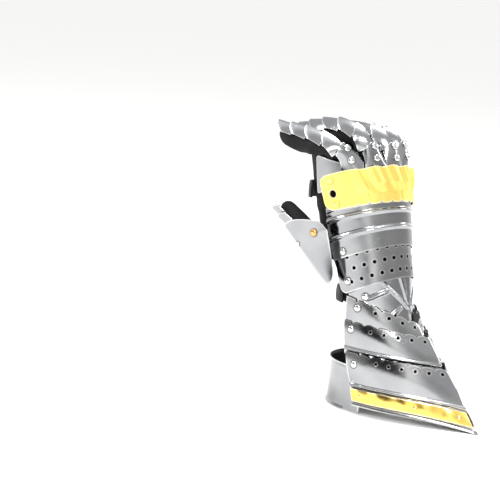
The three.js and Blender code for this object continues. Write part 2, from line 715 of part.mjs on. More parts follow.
makeCuff();
makeCuffBand();
makeLames();
makeWristPlate();
makePerforatedLame();
makeMetacarpalPlate();
makeKnucklePlate();
makeKnuckleLame();
FINGERS.forEach(makeFinger);
makeThumb();
makeGlove();
makeStraps();

// The origin is under the middle of the whole gauntlet, on the ground that it stands on.
const bounds = new THREE.Box3().setFromObject(gauntlet);
const middle = bounds.getCenter(new THREE.Vector3());
gauntlet.position.set(-middle.x, -middle.y, -bounds.min.z);

export default gauntlet;
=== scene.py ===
"""Dresses the armoured gauntlet: detailed plates, rivets, leather glove, finishes, light and camera.

Tables and lengths of the plates are in millimetres, in the wrist's own axes; MM and origin() bring
them into the frame, which is in metres.
"""
from math import cos, pi, radians, sin

import bmesh
import bpy
import numpy as np
from bpy.props import FloatProperty, FloatVectorProperty, PointerProperty
from bpy.types import Operator, Panel, PropertyGroup
from mathutils import Matrix, Vector


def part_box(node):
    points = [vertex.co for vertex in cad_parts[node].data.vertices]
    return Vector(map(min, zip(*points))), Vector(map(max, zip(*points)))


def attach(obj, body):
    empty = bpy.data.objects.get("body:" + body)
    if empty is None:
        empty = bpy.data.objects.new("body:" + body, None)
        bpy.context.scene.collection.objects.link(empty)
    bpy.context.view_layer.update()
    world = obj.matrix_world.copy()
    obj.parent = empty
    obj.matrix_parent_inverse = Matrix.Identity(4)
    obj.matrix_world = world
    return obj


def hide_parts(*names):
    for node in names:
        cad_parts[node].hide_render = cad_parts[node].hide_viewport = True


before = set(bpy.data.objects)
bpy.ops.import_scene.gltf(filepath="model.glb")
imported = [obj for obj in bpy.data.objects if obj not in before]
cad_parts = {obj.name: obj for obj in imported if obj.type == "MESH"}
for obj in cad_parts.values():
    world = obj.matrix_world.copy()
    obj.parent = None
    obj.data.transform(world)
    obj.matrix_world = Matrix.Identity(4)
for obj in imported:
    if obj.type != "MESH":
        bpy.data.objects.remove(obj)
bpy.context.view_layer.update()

bl_info = {
    "name": "Armoured Gauntlet",
    "version": (1, 0, 0),
    "blender": (4, 5, 0),
    "location": "View3D > Sidebar > Gauntlet",
    "description": "Builds the plates, leather and studio of an armoured gauntlet",
    "category": "Add Mesh",
}

MM = 0.001

# ---- tables (millimetres and degrees) -----------------------------------
# Edge curves of the plates, from the thumb side (s = -1) over the ridge (0) to the other side (1).
COLUMNS = ("centre", "depth", "width", "keel", "twist", "span", "z_ridge", "z_end", "power")
EDGES = {
    "cuff_low":         (-28.0, 74.0, 43.5, 49, 0, 88, 0, 9, 3),
    "cuff_high":        (-40.0, 82.0, 43.0, 10, 0, 90, 57, 62, 2),
    "lower_lame_low":   (-42.0, 79.0, 41.0, 16, 0, 90, 47, 53, 2),
    "lower_lame_high":  (-46.0, 65.0, 41.2, 9, 0, 90, 85, 93, 1.3),
    "upper_lame_low":   (-46.0, 63.0, 39.0, 9, 0, 90, 74, 83, 1.6),
    "upper_lame_high":  (-47.0, 55.0, 39.4, 7, 0, 90, 96, 117, 1.2),
    "wrist_low":        (-44.0, 46.0, 36.5, 7, 0, 90, 86, 104, 1.2),
    "wrist_high":       (-44.0, 38.5, 38.2, 0, -6, 90, 148, 131, 0),
    "pierced_low":      (-45.0, 44.0, 41.6, 0, -8, 92, 141, 117, 0),
    "pierced_high":     (-55.0, 44.5, 42.2, 0, -13, 92, 180, 157, 0),
    "metacarpal_low":   (-54.4, 48.0, 45.2, 0, -13, 92, 173, 149, 0),
    "metacarpal_high":  (-64.5, 47.5, 47.2, 0, -16, 92, 224, 206, 0),
    "knuckle_low":      (-63.6, 52.2, 50.2, 0, -16, 86, 216, 197, 0),
    "knuckle_high":     (-74.5, 53.9, 54.3, 0, -18, 82, 252, 229, 0),
    "lame_low":         (-71.0, 48.6, 48.0, 0, -18, 96, 236, 216, 0),
    "lame_high":        (-76.0, 47.4, 48.3, 0, -18, 98, 247, 253, 0),
}

# Scalloped edges: first hole from the ridge, pitch, holes on each side, place of the side rivet.
LOBES = {
    "cuff":       {"first": 6.6, "pitch": 13.2, "holes": 6, "rivet": 98, "inset": 12},
    "lower_lame": {"first": 6.8, "pitch": 13.6, "holes": 5, "rivet": 82, "inset": 8},
    "upper_lame": {"first": 7.0, "pitch": 14.0, "holes": 4, "rivet": 68, "inset": 8},
}
# Closing band of the cuff, and its lip: how far it stands out, how high it is, and the angles
# from which and over which it grows.
BAND = {"centre": -32.0, "depth": 48.0, "width": 40.6, "height": 48.0, "begin": 76.0,
        "rim": 1.2, "lip": 3.2, "lip_from": 96, "lip_over": 6}
KNUCKLES = {"centre": -74.5, "depth": 51.5, "width": 51.9, "twist": -18.0, "height": 243.0}

# Finger ridge lines: half width, extra depth of the glove at the root, place about the knuckles,
# heading, number of scales, where the two rivets lie, and the three control points as
# (forward, up) from the knuckle.
FINGERS = {
    "index":  {"half": 11.6, "deep": 6, "angle": -43.5, "aim": -1, "scales": 4,
               "rivets": (11, 24), "reach": ((1, 29), (22, 41), (94, 40))},
    "middle": {"half": 11.4, "deep": 6, "angle": -16, "aim": 4, "scales": 5,
               "rivets": (15, 27), "reach": ((0, 43), (30, 65), (106, 37))},
    "ring":   {"half": 10.8, "deep": 5, "angle": 10, "aim": 4, "scales": 4,
               "rivets": (15, 27), "reach": ((0, 44), (26, 60), (106, 33))},
    "little": {"half": 10.0, "deep": 5, "angle": 35, "aim": 2, "scales": 4,
               "rivets": (15, 27), "reach": ((0, 42), (24, 56), (92, 28))},
}
# How far the sides of a finger's scales go down, at the root plate and at the tip.
SCALE_DROP = (12.5, 9.5)
THUMB = {
    "line": ((-59, -56, 129), (-97, -59, 161), (-138, -56, 193)),
    "back_at_base": (-0.12, -0.97, -0.19), "back_at_tip": (-0.41, -0.71, -0.57),
}
LEAF = {"share": 0.76, "narrow": 3, "widening": 20, "widest_at": 0.65, "drop": 0.5,
        "rounding": 0.34, "lean": 0.42}
# Scales of the thumb: start and end as shares of the ridge line, half width and drop.
THUMB_TIPS = ((0.71, 0.89, 11.5, 4.5), (0.83, 1.0, 10.5, 4.0))
HOLE_ROWS = {"heights": (0.22, 0.52, 0.82), "count": 11, "first": -0.8, "pitch": 1.6 / 11}

# Painted contact shade and dirt left about a detail: radius, reach and amount of its ring.
SHADE_AND_DIRT_RINGS = {"rivet": (3.4, 1.6, 0.85), "hole": (1.7, 1.1, 0.6), "eyelet": (3.6, 1.2, 0.6),
        "plate_rivet": (3.4, 1.2, 0.7), "root_rivet": (3.2, 1.6, 0.85), "tack": (2.0, 1.6, 0.85)}
# Painted shade under an overlap: how far beyond the covering edge it starts, and over what it grows.
COVER_GAP, COVER_FADE = 2.2, 1.2

# Sections of the hand inside the glove, from the open wrist to the knuckles: height, centre,
# depth, width and twist.
PALM = (
    (106, -45, 27, 31.0, -4), (128, -47, 28, 33.0, -6), (150, -55, 31, 37.0, -10),
    (185, -68, 39, 40.5, -14), (215, -76, 40, 41.5, -17), (236, -80, 41, 41.5, -18),
    (250, -83, 43, 41.0, -18), (256, -86, 39, 37.0, -18),
)


# ---- sizes and colours that a user would change -------------------------
def length(name, description, default):
    return FloatProperty(name=name, description=description, default=default * MM,
                         unit="LENGTH", subtype="DISTANCE", precision=5)


def colour(name, description, default):
    return FloatVectorProperty(name=name, description=description, default=default, size=3,
                               subtype="COLOR", min=0.0, max=1.0)


def share(name, description, default):
    return FloatProperty(name=name, description=description, default=default, subtype="FACTOR",
                         min=0.0, max=1.0)


def angle(name, description, default):
    return FloatProperty(name=name, description=description, default=radians(default),
                         unit="ROTATION", subtype="ANGLE")


class GauntletSizes(PropertyGroup):
    """Sizes of the sheet metal, its holes and rivets, and of the leather."""

    wall: length("Sheet", "Thickness of the steel and brass sheet", 1.2)
    bevel: length("Edge rounding", "Radius that the cut edges of the sheet are rounded to", 0.28)
    step: length("Mesh step", "Spacing of the points on the plates", 0.85)
    hole: length("Hole radius", "Radius of the pierced holes", 1.9)
    hole_inset: length("Hole inset", "Distance of the holes from the scalloped edge", 6.5)
    eyelet: length("Eyelet radius", "Radius of the knuckle plate's eyelets", 3.7)
    scallop: length("Scallop depth", "Depth of the cusps between two lobes", 3.2)
    rivet: length("Rivet radius", "Radius of the large rivet heads", 3.7)
    rivet_height: length("Rivet height", "Height of the large rivet heads", 2.5)
    tack: length("Small rivet radius", "Radius of the small rivet heads", 2.3)
    tack_height: length("Small rivet height", "Height of the small rivet heads", 1.5)
    leather: length("Leather", "Thickness of the glove leather", 1.6)
    strap: length("Strap", "Thickness of the straps", 2.0)


class GauntletFinish(PropertyGroup):
    """Colours and polish of the metals and the leather."""

    steel: colour("Steel", "Colour of the polished steel", (0.38, 0.385, 0.39))
    steel_roughness: share("Steel roughness", "Roughness of the polished steel", 0.115)
    trim: colour("Brass trim", "Colour of the polished trims", (0.92, 0.65, 0.16))
    trim_roughness: share("Trim roughness", "Roughness of the polished trims", 0.16)
    knuckle: colour("Knuckle brass", "Colour of the satin knuckle plate", (1.0, 0.78, 0.19))
    knuckle_roughness: share("Knuckle roughness", "Roughness of the satin knuckle plate", 0.32)
    copper: colour("Copper", "Colour of the rivet on the thumb", (0.80, 0.42, 0.13))
    leather: colour("Leather", "Colour of the black suede", (0.0075, 0.0072, 0.0075))


class GauntletStage(PropertyGroup):
    """Camera, light and ground."""

    azimuth: angle("Camera azimuth", "Turn of the camera about the gauntlet", 38.0)
    elevation: angle("Camera elevation", "How far the camera looks down", 11.0)
    roll: angle("Camera roll", "Lean of the camera to its side", 4.5)
    distance: FloatProperty(name="Camera distance", description="Distance to the wrist's axis",
                            default=1.6, unit="LENGTH", subtype="DISTANCE")
    lens: FloatProperty(name="Lens", description="Focal length in millimetres on a 36 mm sensor",
                        default=115.2)
    ground: colour("Ground", "Colour of the plain ground", (0.90, 0.90, 0.89))


def sizes():
    return bpy.context.scene.gauntlet_sizes


def finish():
    return bpy.context.scene.gauntlet_finish


def settled(thing, **settings):
    """Gives a thing its settings, in order, and returns it."""
    for key, value in settings.items():
        setattr(thing, key, value)
    return thing


def millimetres(value):
    return value / MM


def origin():
    """Where the tables' zero lies in the frame: found from the cuff band and the cuff plate."""
    band_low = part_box("cuff_band")[0]
    plate_low, plate_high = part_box("cuff_plate")
    band_back = (BAND["centre"] - BAND["depth"] - BAND["rim"]) * MM
    return np.array([band_low[0] - band_back, (plate_low[1] + plate_high[1]) / 2, 0.0])


# ---- surfaces -----------------------------------------------------------
def unit(vectors):
    """Each vector divided by its length."""
    return vectors / np.maximum(np.linalg.norm(vectors, axis=-1, keepdims=True), 1e-12)


def run_length(points, axis):
    """Length passed along one direction of a grid: the running sum of the steps' lengths."""
    steps = np.linalg.norm(np.diff(points, axis=axis), axis=-1)
    start = np.zeros_like(np.take(steps, [0], axis=axis))
    return np.concatenate([start, np.cumsum(steps, axis=axis)], axis=axis)


def turned(centre, x, y, twist):
    """Places (x, y) turned by the twist in degrees, about a centre on the x axis."""
    turn = np.radians(twist)
    return (centre + x * np.cos(turn) - y * np.sin(turn),
            x * np.sin(turn) + y * np.cos(turn))


def pair(s, q):
    """The same place on both sides of the ridge."""
    return [(-s, q), (s, q)]


def spots_on(face, places, nudge):
    """Points and outward normals of a face at (s, q) places, each normal from the cross
    product of the face's differences over a nudge both ways."""
    s, q = np.asarray(places, float).T
    across = face(s + nudge, q) - face(s - nudge, q)
    along = face(s, q + nudge) - face(s, q - nudge)
    return face(s, q), unit(np.cross(across, along))


def grid_normals(points):
    """Unit cross product of the two directions of a grid."""
    return unit(np.cross(np.gradient(points, axis=0), np.gradient(points, axis=1)))


def grid_faces(columns, rows, closed=False):
    """Quads between neighbouring columns and rows; closed joins the last column to the first."""
    i = np.arange(columns if closed else columns - 1)[:, None]
    j = np.arange(rows - 1)[None, :]
    a = i * rows + j
    b = ((i + 1) % columns) * rows + j
    return np.stack([a, b, b + 1, a + 1], axis=-1).reshape(-1, 4)


class Surface:
    """Points, quads, pattern coordinates and distance to the nearest edge, in millimetres."""

    PER_POINT = ("points", "uv", "edge", "grime")

    def __init__(self, grid, closed=False):
        columns, rows = grid.shape[:2]
        across, up = run_length(grid, 0), run_length(grid, 1)
        centred = across - across[columns // 2][None, :]
        ends = np.minimum(up, up[:, -1:] - up)
        sides = np.minimum(across, across[-1:] - across)
        self.points = grid.reshape(-1, 3)
        self.faces = grid_faces(columns, rows, closed)
        self.uv = np.stack([centred, up], axis=-1).reshape(-1, 2)
        self.edge = (ends if closed else np.minimum(ends, sides)).reshape(-1)
        self.grime = np.zeros(columns * rows)

    def paint_shade_and_dirt(self, centres, detail):
        """Painted contact shade, and dirt left by polishing, about each centre: amount at the
        radius, fading over the reach.
        """
        radius, reach, amount = SHADE_AND_DIRT_RINGS[detail]
        gap = np.linalg.norm(self.points[:, None] - np.asarray(centres)[None], axis=-1)
        ring = 1 - np.clip((gap.min(axis=1) - radius) / reach, 0, 1)
        self.grime = np.maximum(self.grime, amount * ring)
        return self

    def pierce(self, centres, radius):
        """Drops the faces whose middle is nearer than the radius to a hole's centre, and moves
        the points left on the hole's rim to exactly that distance."""
        centres = np.asarray(centres, float)
        middles = self.points[self.faces].mean(axis=1)
        reach = np.linalg.norm(middles[:, None] - centres[None], axis=-1).min(axis=1)
        kept, dropped = self.faces[reach >= radius], self.faces[reach < radius]
        rim = np.intersect1d(kept, dropped)
        away = self.points[rim][:, None] - centres[None]
        nearest = np.linalg.norm(away, axis=-1).argmin(axis=1)
        ray = unit(away[np.arange(len(rim)), nearest])
        self.points[rim] = centres[nearest] + ray * radius
        gap = np.linalg.norm(self.points[:, None] - centres[None], axis=-1).min(axis=1) - radius
        self.edge = np.minimum(self.edge, np.maximum(gap, 0))
        used = np.unique(kept)
        places = np.full(len(self.points), -1)
        places[used] = np.arange(len(used))
        for name in self.PER_POINT:
            setattr(self, name, getattr(self, name)[used])
        self.faces = places[kept]
        return self

    def holes(self, centres, detail):
        """Round holes of the size that the detail has, with painted shade and dirt about them."""
        return self.pierce(centres, millimetres(getattr(sizes(), detail))).paint_shade_and_dirt(centres, detail)


def joined(surfaces):
    """One surface holding several."""
    whole = surfaces[0]
    starts = np.cumsum([0] + [len(s.points) for s in surfaces[:-1]])
    whole.faces = np.concatenate([s.faces + start for s, start in zip(surfaces, starts)])
    for name in Surface.PER_POINT:
        setattr(whole, name, np.concatenate([getattr(s, name) for s in surfaces]))
    return whole


def make_piece(name, surface, body, material, replaces=()):
    """Puts a surface into a mesh object, in metres, and hands it to a body of the frame."""
    mesh = bpy.data.meshes.new(name)
    points = surface.points * MM + origin()
    faces = surface.faces
    mesh.vertices.add(len(points))
    mesh.vertices.foreach_set("co", points.ravel())
    mesh.loops.add(faces.size)
    mesh.loops.foreach_set("vertex_index", faces.ravel())
    mesh.polygons.add(len(faces))
    mesh.polygons.foreach_set("loop_start", np.arange(0, faces.size, faces.shape[1]))
    mesh.update(calc_edges=True)
    mesh.uv_layers.new(name="sheet").data.foreach_set("uv", surface.uv[faces.ravel()].ravel() * MM)
    # The second attribute is the mask of painted shade under overlaps and about details, with dirt.
    for layer, values in (("edge", surface.edge * MM), ("grime", surface.grime)):
        mesh.attributes.new(layer, "FLOAT", "POINT").data.foreach_set("value", values)
    mesh.shade_smooth()
    piece = bpy.data.objects.new(name, mesh)
    bpy.context.collection.objects.link(piece)
    mesh.materials.append(material)
    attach(piece, body)
    if replaces:
        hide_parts(*replaces)
    return piece


def weld(piece, distance=1e-6):
    """Merges points that lie on each other, such as those of a pole or a seam."""
    shape = bmesh.new()
    shape.from_mesh(piece.data)
    bmesh.ops.remove_doubles(shape, verts=shape.verts, dist=distance)
    bmesh.ops.recalc_face_normals(shape, faces=shape.faces)
    shape.to_mesh(piece.data)
    shape.free()
    return piece


def thicken(piece, wall, rounding, inside=None):
    """Gives a sheet its thickness inwards, with its own material inside where one is given, and
    rounds its edges.
    """
    if inside:
        piece.data.materials.append(inside)
    settled(piece.modifiers.new("thickness", "SOLIDIFY"), thickness=wall, offset=-1.0,
            material_offset=1 if inside else 0, use_even_offset=True, use_quality_normals=True)
    settled(piece.modifiers.new("rounding", "BEVEL"), width=rounding, segments=2,
            limit_method="ANGLE", angle_limit=radians(50), harden_normals=True)
    return piece


# ---- plates -------------------------------------------------------------
def edge_curve(row, s):
    """x = centre + (depth cos a + keel (1-|s|)^3) turned by twist, y = width sin a turned likewise,
    a = s span; z runs from end to ridge as (1-|s|)^power, or as cos a for power 0."""
    edge = dict(zip(COLUMNS, EDGES[row]))
    a = s * radians(edge["span"])
    near = np.clip(1 - np.abs(s), 0, 1)
    x, y = turned(edge["centre"], edge["depth"] * np.cos(a) + edge["keel"] * near ** 3,
                  edge["width"] * np.sin(a), edge["twist"])
    rise = near ** edge["power"] if edge["power"] else np.cos(a)
    return np.stack([x, y, edge["z_end"] + (edge["z_ridge"] - edge["z_end"]) * rise], axis=-1)


# Finely spaced s from the ridge to one side.
FINE = np.linspace(0, 1, 1201)


def place_at(row, lengths):
    """The s at which a length of edge has been passed, measured from the ridge."""
    return np.interp(lengths, run_length(edge_curve(row, FINE), 0), FINE)


def half_length(row):
    """Length of the edge from the ridge to one side."""
    return run_length(edge_curve(row, FINE), 0)[-1]


def both_sides(half):
    """Columns from the ridge outwards, which end at 1, with their mirror image before them."""
    half[-1] = 1.0
    return np.concatenate([-half[:0:-1], half])


def side_columns(row, step):
    """Columns s from -1 to 1 that lie a step of edge length apart and meet the ridge."""
    total = half_length(row)
    return both_sides(place_at(row, np.linspace(0, total, max(2, round(total / step)) + 1)))


class Plate:
    """Sheet between two edge curves: P(s, t) = L(s) + q (U(s) - L(s)) + h N, where q goes from
    bottom(s) to 1 - top(s) with t, N is the outward normal and h the relief."""

    def __init__(self, low, high, step=None, columns=None, relief=None, top=None, bottom=None):
        self.low, self.high = low, high
        step = step or millimetres(sizes().step)
        self.s = side_columns(high, step) if columns is None else columns
        height = self.height(self.s)
        self.t = np.linspace(0, 1, max(4, round(height.max() / step)) + 1)
        cut_top = top(self.s) / height if top else np.zeros_like(self.s)
        cut_bottom = bottom(self.s) / height if bottom else np.zeros_like(self.s)
        q = cut_bottom[:, None] + self.t[None, :] * (1 - cut_top - cut_bottom)[:, None]
        ruled = self.ruled(self.s[:, None], q)
        self.across = run_length(ruled, 0) - run_length(ruled, 0)[len(self.s) // 2][None, :]
        self.up = q * height[:, None]
        if relief is not None:
            ruled = ruled + relief(self, q)[..., None] * grid_normals(ruled)
        self.grid = ruled

    def height(self, s):
        low, high = edge_curve(self.low, s), edge_curve(self.high, s)
        return np.linalg.norm(high - low, axis=-1)

    def ruled(self, s, q):
        low, high = edge_curve(self.low, s), edge_curve(self.high, s)
        return low + q[..., None] * (high - low)

    def spot(self, places, lift=0.0):
        """Points and outward normals at (s, q) places."""
        point, normal = spots_on(self.ruled, places, 1e-3)
        return point + lift * normal, normal

    def surface(self, under=None, over=None):
        """The face, with painted shade where the plate named by under or over covers it: below the
        upper edge of the one or above the lower edge of the other."""
        made = Surface(self.grid)
        z = self.grid[..., 2]
        for row, sign in ((under, 1), (over, -1)):
            if row:
                gap = sign * (edge_curve(row, self.s)[:, 2][:, None] - z)
                made.grime = np.maximum(made.grime, np.clip((gap - COVER_GAP) / COVER_FADE, 0, 1)
                                         .ravel())
        return made


def bow(q, start, stop, height):
    """Shallow bulge height sin(pi x) between two places across the plate."""
    return height * np.sin(pi * np.clip((q - start) / (stop - start), 0, 1))


def bead(value, at, half, height):
    """Rounded raised line: height (1 + cos(pi x)) / 2 for |x| = |value - at| / half below 1."""
    x = np.clip(np.abs(value - at) / half, 0, 1)
    return height * (1 + np.cos(pi * x)) / 2


def round_corner(s, reach, depth):
    """How much a quarter round takes off the height near both ends, as 1 - sqrt(1 - x^2)."""
    x = np.clip(np.abs(s) - (1 - reach), 0, None) / reach
    return depth * (1 - np.sqrt(np.clip(1 - x * x, 0, 1)))


def scallops(high, lobes):
    """Columns and cut of a scalloped edge: lobes as long as the pitch, each cut by
    depth (1 - sqrt(sin(pi x))) with x running from 0 to 1 over the lobe."""
    step, pitch = millimetres(sizes().step), lobes["pitch"]
    per_lobe, last = round(pitch / step), pitch * (lobes["holes"] + 1)
    total = half_length(high)
    cut_part = np.arange(per_lobe * (lobes["holes"] + 1) + 1) * pitch / per_lobe
    tail = np.linspace(last, total, max(2, round((total - last) / step)) + 1)
    lengths = np.concatenate([cut_part, tail[1:]])
    half = place_at(high, lengths)
    columns = both_sides(half)
    passed = np.interp(np.abs(columns), half, lengths)
    x = np.where(passed < last, (passed / pitch) % 1.0, 0.5)
    x = np.where(np.isclose(passed, last), 0.0, x)
    depth = millimetres(sizes().scallop)
    cut = depth * (1 - np.sqrt(np.clip(np.sin(pi * x), 0, 1)))
    cut = np.where((passed < last) & np.isclose(x % 1.0, 0, atol=1e-6), depth, cut)
    return columns, lambda s: np.interp(s, columns, cut)


def edge_places(plate, lengths, inset):
    """The (s, q) places at lengths from the ridge on both sides, an inset below the edge."""
    s = place_at(plate.high, lengths)
    q = 1 - inset / plate.height(s)
    return np.concatenate([np.stack([side * s, q], axis=-1) for side in (-1, 1)])


# ---- rivets -------------------------------------------------------------
def rivet_heads(spots, radius, height, sides=28, rings=9, flat=0.55, root=0.5):
    """Domed heads: r = R sin(u), z = H cos(u)^flat for u from 0 to a right angle, then straight
    down into the sheet by the root, turned about each spot's normal."""
    centres, normals = spots
    u = np.linspace(0, pi / 2, rings)
    profile_r = np.concatenate([radius * np.sin(u), [radius]])
    profile_z = np.concatenate([height * np.clip(np.cos(u), 0, 1) ** flat, [-root]])
    turn = np.linspace(0, 2 * pi, sides, endpoint=False)
    other = unit(np.cross(normals, np.array([0.31, 0.17, 0.93])))
    third = np.cross(normals, other)
    heads = []
    for centre, normal, e1, e2 in zip(centres, normals, other, third):
        ring = np.cos(turn)[:, None] * e1 + np.sin(turn)[:, None] * e2
        grid = (centre + profile_r[None, :, None] * ring[:, None, :]
                + profile_z[None, :, None] * normal)
        heads.append(Surface(grid[:, ::-1], closed=True))
    return joined(heads)


def add_rivets(name, spots, body, material=None, small=False):
    """A rivet head at each spot, of steel where no other metal is named."""
    size = sizes()
    radius, height = (size.tack, size.tack_height) if small else (size.rivet, size.rivet_height)
    heads = rivet_heads(spots, millimetres(radius), millimetres(height))
    return weld(make_piece(name, heads, body, material or rivet_steel()))


# ---- lines of the fingers -----------------------------------------------
class RidgeLine:
    """Smooth curve with an outward normal and a side direction at each length along it."""

    def __init__(self, controls, side_at):
        t = np.linspace(0, 1, 801)[:, None]
        if len(controls) == 4:
            weights = ((1 - t) ** 3, 3 * t * (1 - t) ** 2, 3 * t * t * (1 - t), t ** 3)
        else:
            weights = ((1 - t) ** 2, 2 * t * (1 - t), t * t)
        self.points = sum(w * np.asarray(c, float) for w, c in zip(weights, controls))
        self.run = run_length(self.points, 0)
        self.length = self.run[-1]
        self.tangents = unit(np.gradient(self.points, self.run, axis=0))
        self.side_at = side_at

    def frame(self, along):
        along = np.clip(along, 0, self.length)
        point, tangent = (
            np.stack([np.interp(along, self.run, values[:, k]) for k in range(3)], axis=-1)
            for values in (self.points, self.tangents))
        side = self.side_at(along, tangent)
        normal = unit(np.cross(side, tangent))
        return point, normal, unit(np.cross(tangent, normal))


ROOT_LENGTH = 32.0
# Length of ridge line over which a finger turns to its own heading, and the thumb's back turns.
TURN_LENGTH = ROOT_LENGTH * 1.3
THUMB_TURN_LENGTH = 105.0


def finger_line(finger):
    """Ridge line from the knuckles: a cubic curve whose side direction turns from the
    knuckles' own to the finger's heading, as 3 x^2 - 2 x^3 over the turn's length."""
    place = radians(finger["angle"])
    x, y = turned(KNUCKLES["centre"], KNUCKLES["depth"] * cos(place),
                  KNUCKLES["width"] * sin(place), KNUCKLES["twist"])
    start = np.array([x, y, KNUCKLES["height"]])
    aim = radians(finger["aim"])
    forward = np.array([-cos(aim), sin(aim), 0])
    controls = [start] + [start + forward * ahead + np.array([0, 0, up])
                          for ahead, up in finger["reach"]]
    heading = place + radians(KNUCKLES["twist"])
    at_start = np.array([-sin(heading), cos(heading), 0])
    ahead = np.array([forward[1], -forward[0], 0])

    def side_at(along, tangent):
        x = np.clip(along / TURN_LENGTH, 0, 1)
        settle = (x * x * (3 - 2 * x))[..., None]
        return at_start * (1 - settle) + ahead * settle

    return RidgeLine(controls, side_at)


def thumb_line():
    """Ridge line of the thumb, whose back turns from one direction at the base to another."""
    at_base, at_tip = np.array(THUMB["back_at_base"]), np.array(THUMB["back_at_tip"])

    def side_at(along, tangent):
        back = mix(at_base, at_tip, np.clip(along / THUMB_TURN_LENGTH, 0, 1)[..., None])
        return unit(np.cross(tangent, back))

    return RidgeLine(THUMB["line"], side_at)


# How far the hidden end of a scale draws in at its sides and goes down under the next one.
TUCK_SIDES, TUCK_DEPTH = 2.0, 2.8


class Gutter:
    """Scale over a ridge line: P = R(a) + w s S - (d f(|s|) + tuck) N, where a runs from start
    to end and less far at the sides, f = keel |s| + (1 - keel) |s|^2.2 keeps a ridge, and w and d
    grow by the lean towards s = 1."""

    def __init__(self, line, start, end, width, drop, tucked=True, rounding=0.35, keel=0.4,
                 lean=0.0):
        self.line, self.start, self.end = line, start, end
        self.width, self.drop, self.tucked = width, drop, tucked
        self.rounding, self.keel, self.lean = rounding, keel, lean

    def points(self, s, t):
        along = (self.start + (self.end - self.start) * t
                 * (1 - self.rounding * np.abs(s) ** 2.5 * t))
        point, normal, side = self.line.frame(along)
        tuck = np.clip(1 - t, 0, 1) ** 0.8 if self.tucked else np.zeros_like(t)
        wider = 1 + self.lean * np.clip(s, 0, None)
        half = self.width(t) * wider - tuck * TUCK_SIDES
        fall = self.keel * np.abs(s) + (1 - self.keel) * np.abs(s) ** 2.2
        sink = self.drop(t) * wider * fall + tuck * TUCK_DEPTH
        return point + (half * s)[..., None] * side - sink[..., None] * normal

    def surface(self, sides=28, steps=22):
        s = np.linspace(-1, 1, sides + 1)[:, None] + np.zeros((1, steps + 1))
        t = np.linspace(0, 1, steps + 1)[None, :] + np.zeros((sides + 1, 1))
        return Surface(self.points(s, t))

    def spot(self, places):
        return spots_on(self.points, places, 0.01)


def mix(a, b, t):
    return a + (b - a) * t


# ---- node groups and finishes -------------------------------------------
class Nodes:
    """Small helper to place and link shader nodes."""

    def __init__(self, tree):
        self.tree = tree

    def add(self, kind, inputs=None, **settings):
        node = settled(self.tree.nodes.new(kind), **settings)
        for key, value in (inputs or {}).items():
            if isinstance(value, bpy.types.NodeSocket):
                self.tree.links.new(value, node.inputs[key])
            else:
                node.inputs[key].default_value = value
        return node

    def math(self, operation, *values):
        return self.add("ShaderNodeMath", dict(enumerate(values)), operation=operation).outputs[0]

    def plus(self, start, *terms):
        """The start and each value times its weight, added up."""
        for value, weight in terms:
            start = self.math("ADD", start, self.math("MULTIPLY", value, weight))
        return start

    def place(self):
        return self.add("ShaderNodeTexCoord").outputs["Object"]

    def attribute(self, name):
        return self.add("ShaderNodeAttribute", attribute_name=name).outputs["Fac"]

    def ramp(self, value, low, high):
        return self.add("ShaderNodeMapRange", {"Value": value, "From Min": low, "From Max": high},
                        clamp=True, interpolation_type="SMOOTHSTEP").outputs["Result"]

    def noise(self, vector, scale, detail=3.0, rough=0.55, distortion=0.0):
        return self.add("ShaderNodeTexNoise", {
            "Vector": vector, "Scale": scale, "Detail": detail, "Roughness": rough,
            "Distortion": distortion}).outputs["Fac"]

    def stretched(self, vector, scale):
        return self.add("ShaderNodeMapping", {"Vector": vector, "Scale": scale}).outputs[0]

    def blend(self, factor, a, b):
        node = self.add("ShaderNodeMix", data_type="RGBA")
        for socket, value in zip((node.inputs[0], node.inputs[6], node.inputs[7]),
                                 (factor, a, b)):
            if isinstance(value, bpy.types.NodeSocket):
                self.tree.links.new(value, socket)
            else:
                socket.default_value = value
        return node.outputs[2]


def node_group(name, inputs, outputs):
    """Empty shader node group with named number sockets; returns it and its Nodes helper."""
    group = bpy.data.node_groups.new(name, "ShaderNodeTree")
    for socket, default in inputs.items():
        group.interface.new_socket(socket, in_out="INPUT",
                                   socket_type="NodeSocketFloat").default_value = default
    for socket in outputs:
        group.interface.new_socket(socket, in_out="OUTPUT", socket_type="NodeSocketFloat")
    nodes = Nodes(group)
    return group, nodes, nodes.add("NodeGroupInput").outputs, nodes.add("NodeGroupOutput").inputs


def worn_and_highlight_edge_group():
    """Mask of the worn edges and their painted highlight: 1 at a cut edge, falling to 0 over the
    width, broken up by noise.
    """
    group, n, given, result = node_group("Worn Edge", {"Width": 0.0012}, ["Mask"])
    broken = n.math("MULTIPLY", n.noise(n.place(), 260.0), given["Width"])
    near = n.math("DIVIDE", n.math("ADD", n.attribute("edge"), broken), given["Width"])
    group.links.new(n.ramp(near, 1.5, 0.6), result["Mask"])
    return group


def polish_group():
    """Polish Marks: fine streaks along the sheet, faint scratches and soft cloudy patches."""
    group, n, given, result = node_group(
        "Polish Marks", {"Scale": 1.0, "Stretch": 14.0}, ["Streaks", "Scratches", "Clouds"])
    sheet = n.add("ShaderNodeUVMap", uv_map="sheet").outputs[0]
    scale = n.add("ShaderNodeCombineXYZ", {0: given["Scale"], 1: n.math(
        "MULTIPLY", given["Scale"], given["Stretch"]), 2: 1.0}).outputs[0]
    streaked = n.add("ShaderNodeVectorMath", {0: sheet, 1: scale}, operation="MULTIPLY").outputs[0]
    group.links.new(n.noise(streaked, 150.0, 4.0, 0.6, 0.4), result["Streaks"])
    turned = n.add("ShaderNodeMapping", {"Vector": sheet, "Rotation": (0, 0, 0.7),
                                         "Scale": (9.0, 260.0, 1.0)}).outputs[0]
    lines = n.noise(turned, 14.0, 2.0, 0.5, 1.2)
    group.links.new(n.ramp(lines, 0.66, 0.74), result["Scratches"])
    group.links.new(n.noise(n.place(), 32.0, 3.0, 0.5), result["Clouds"])
    return group


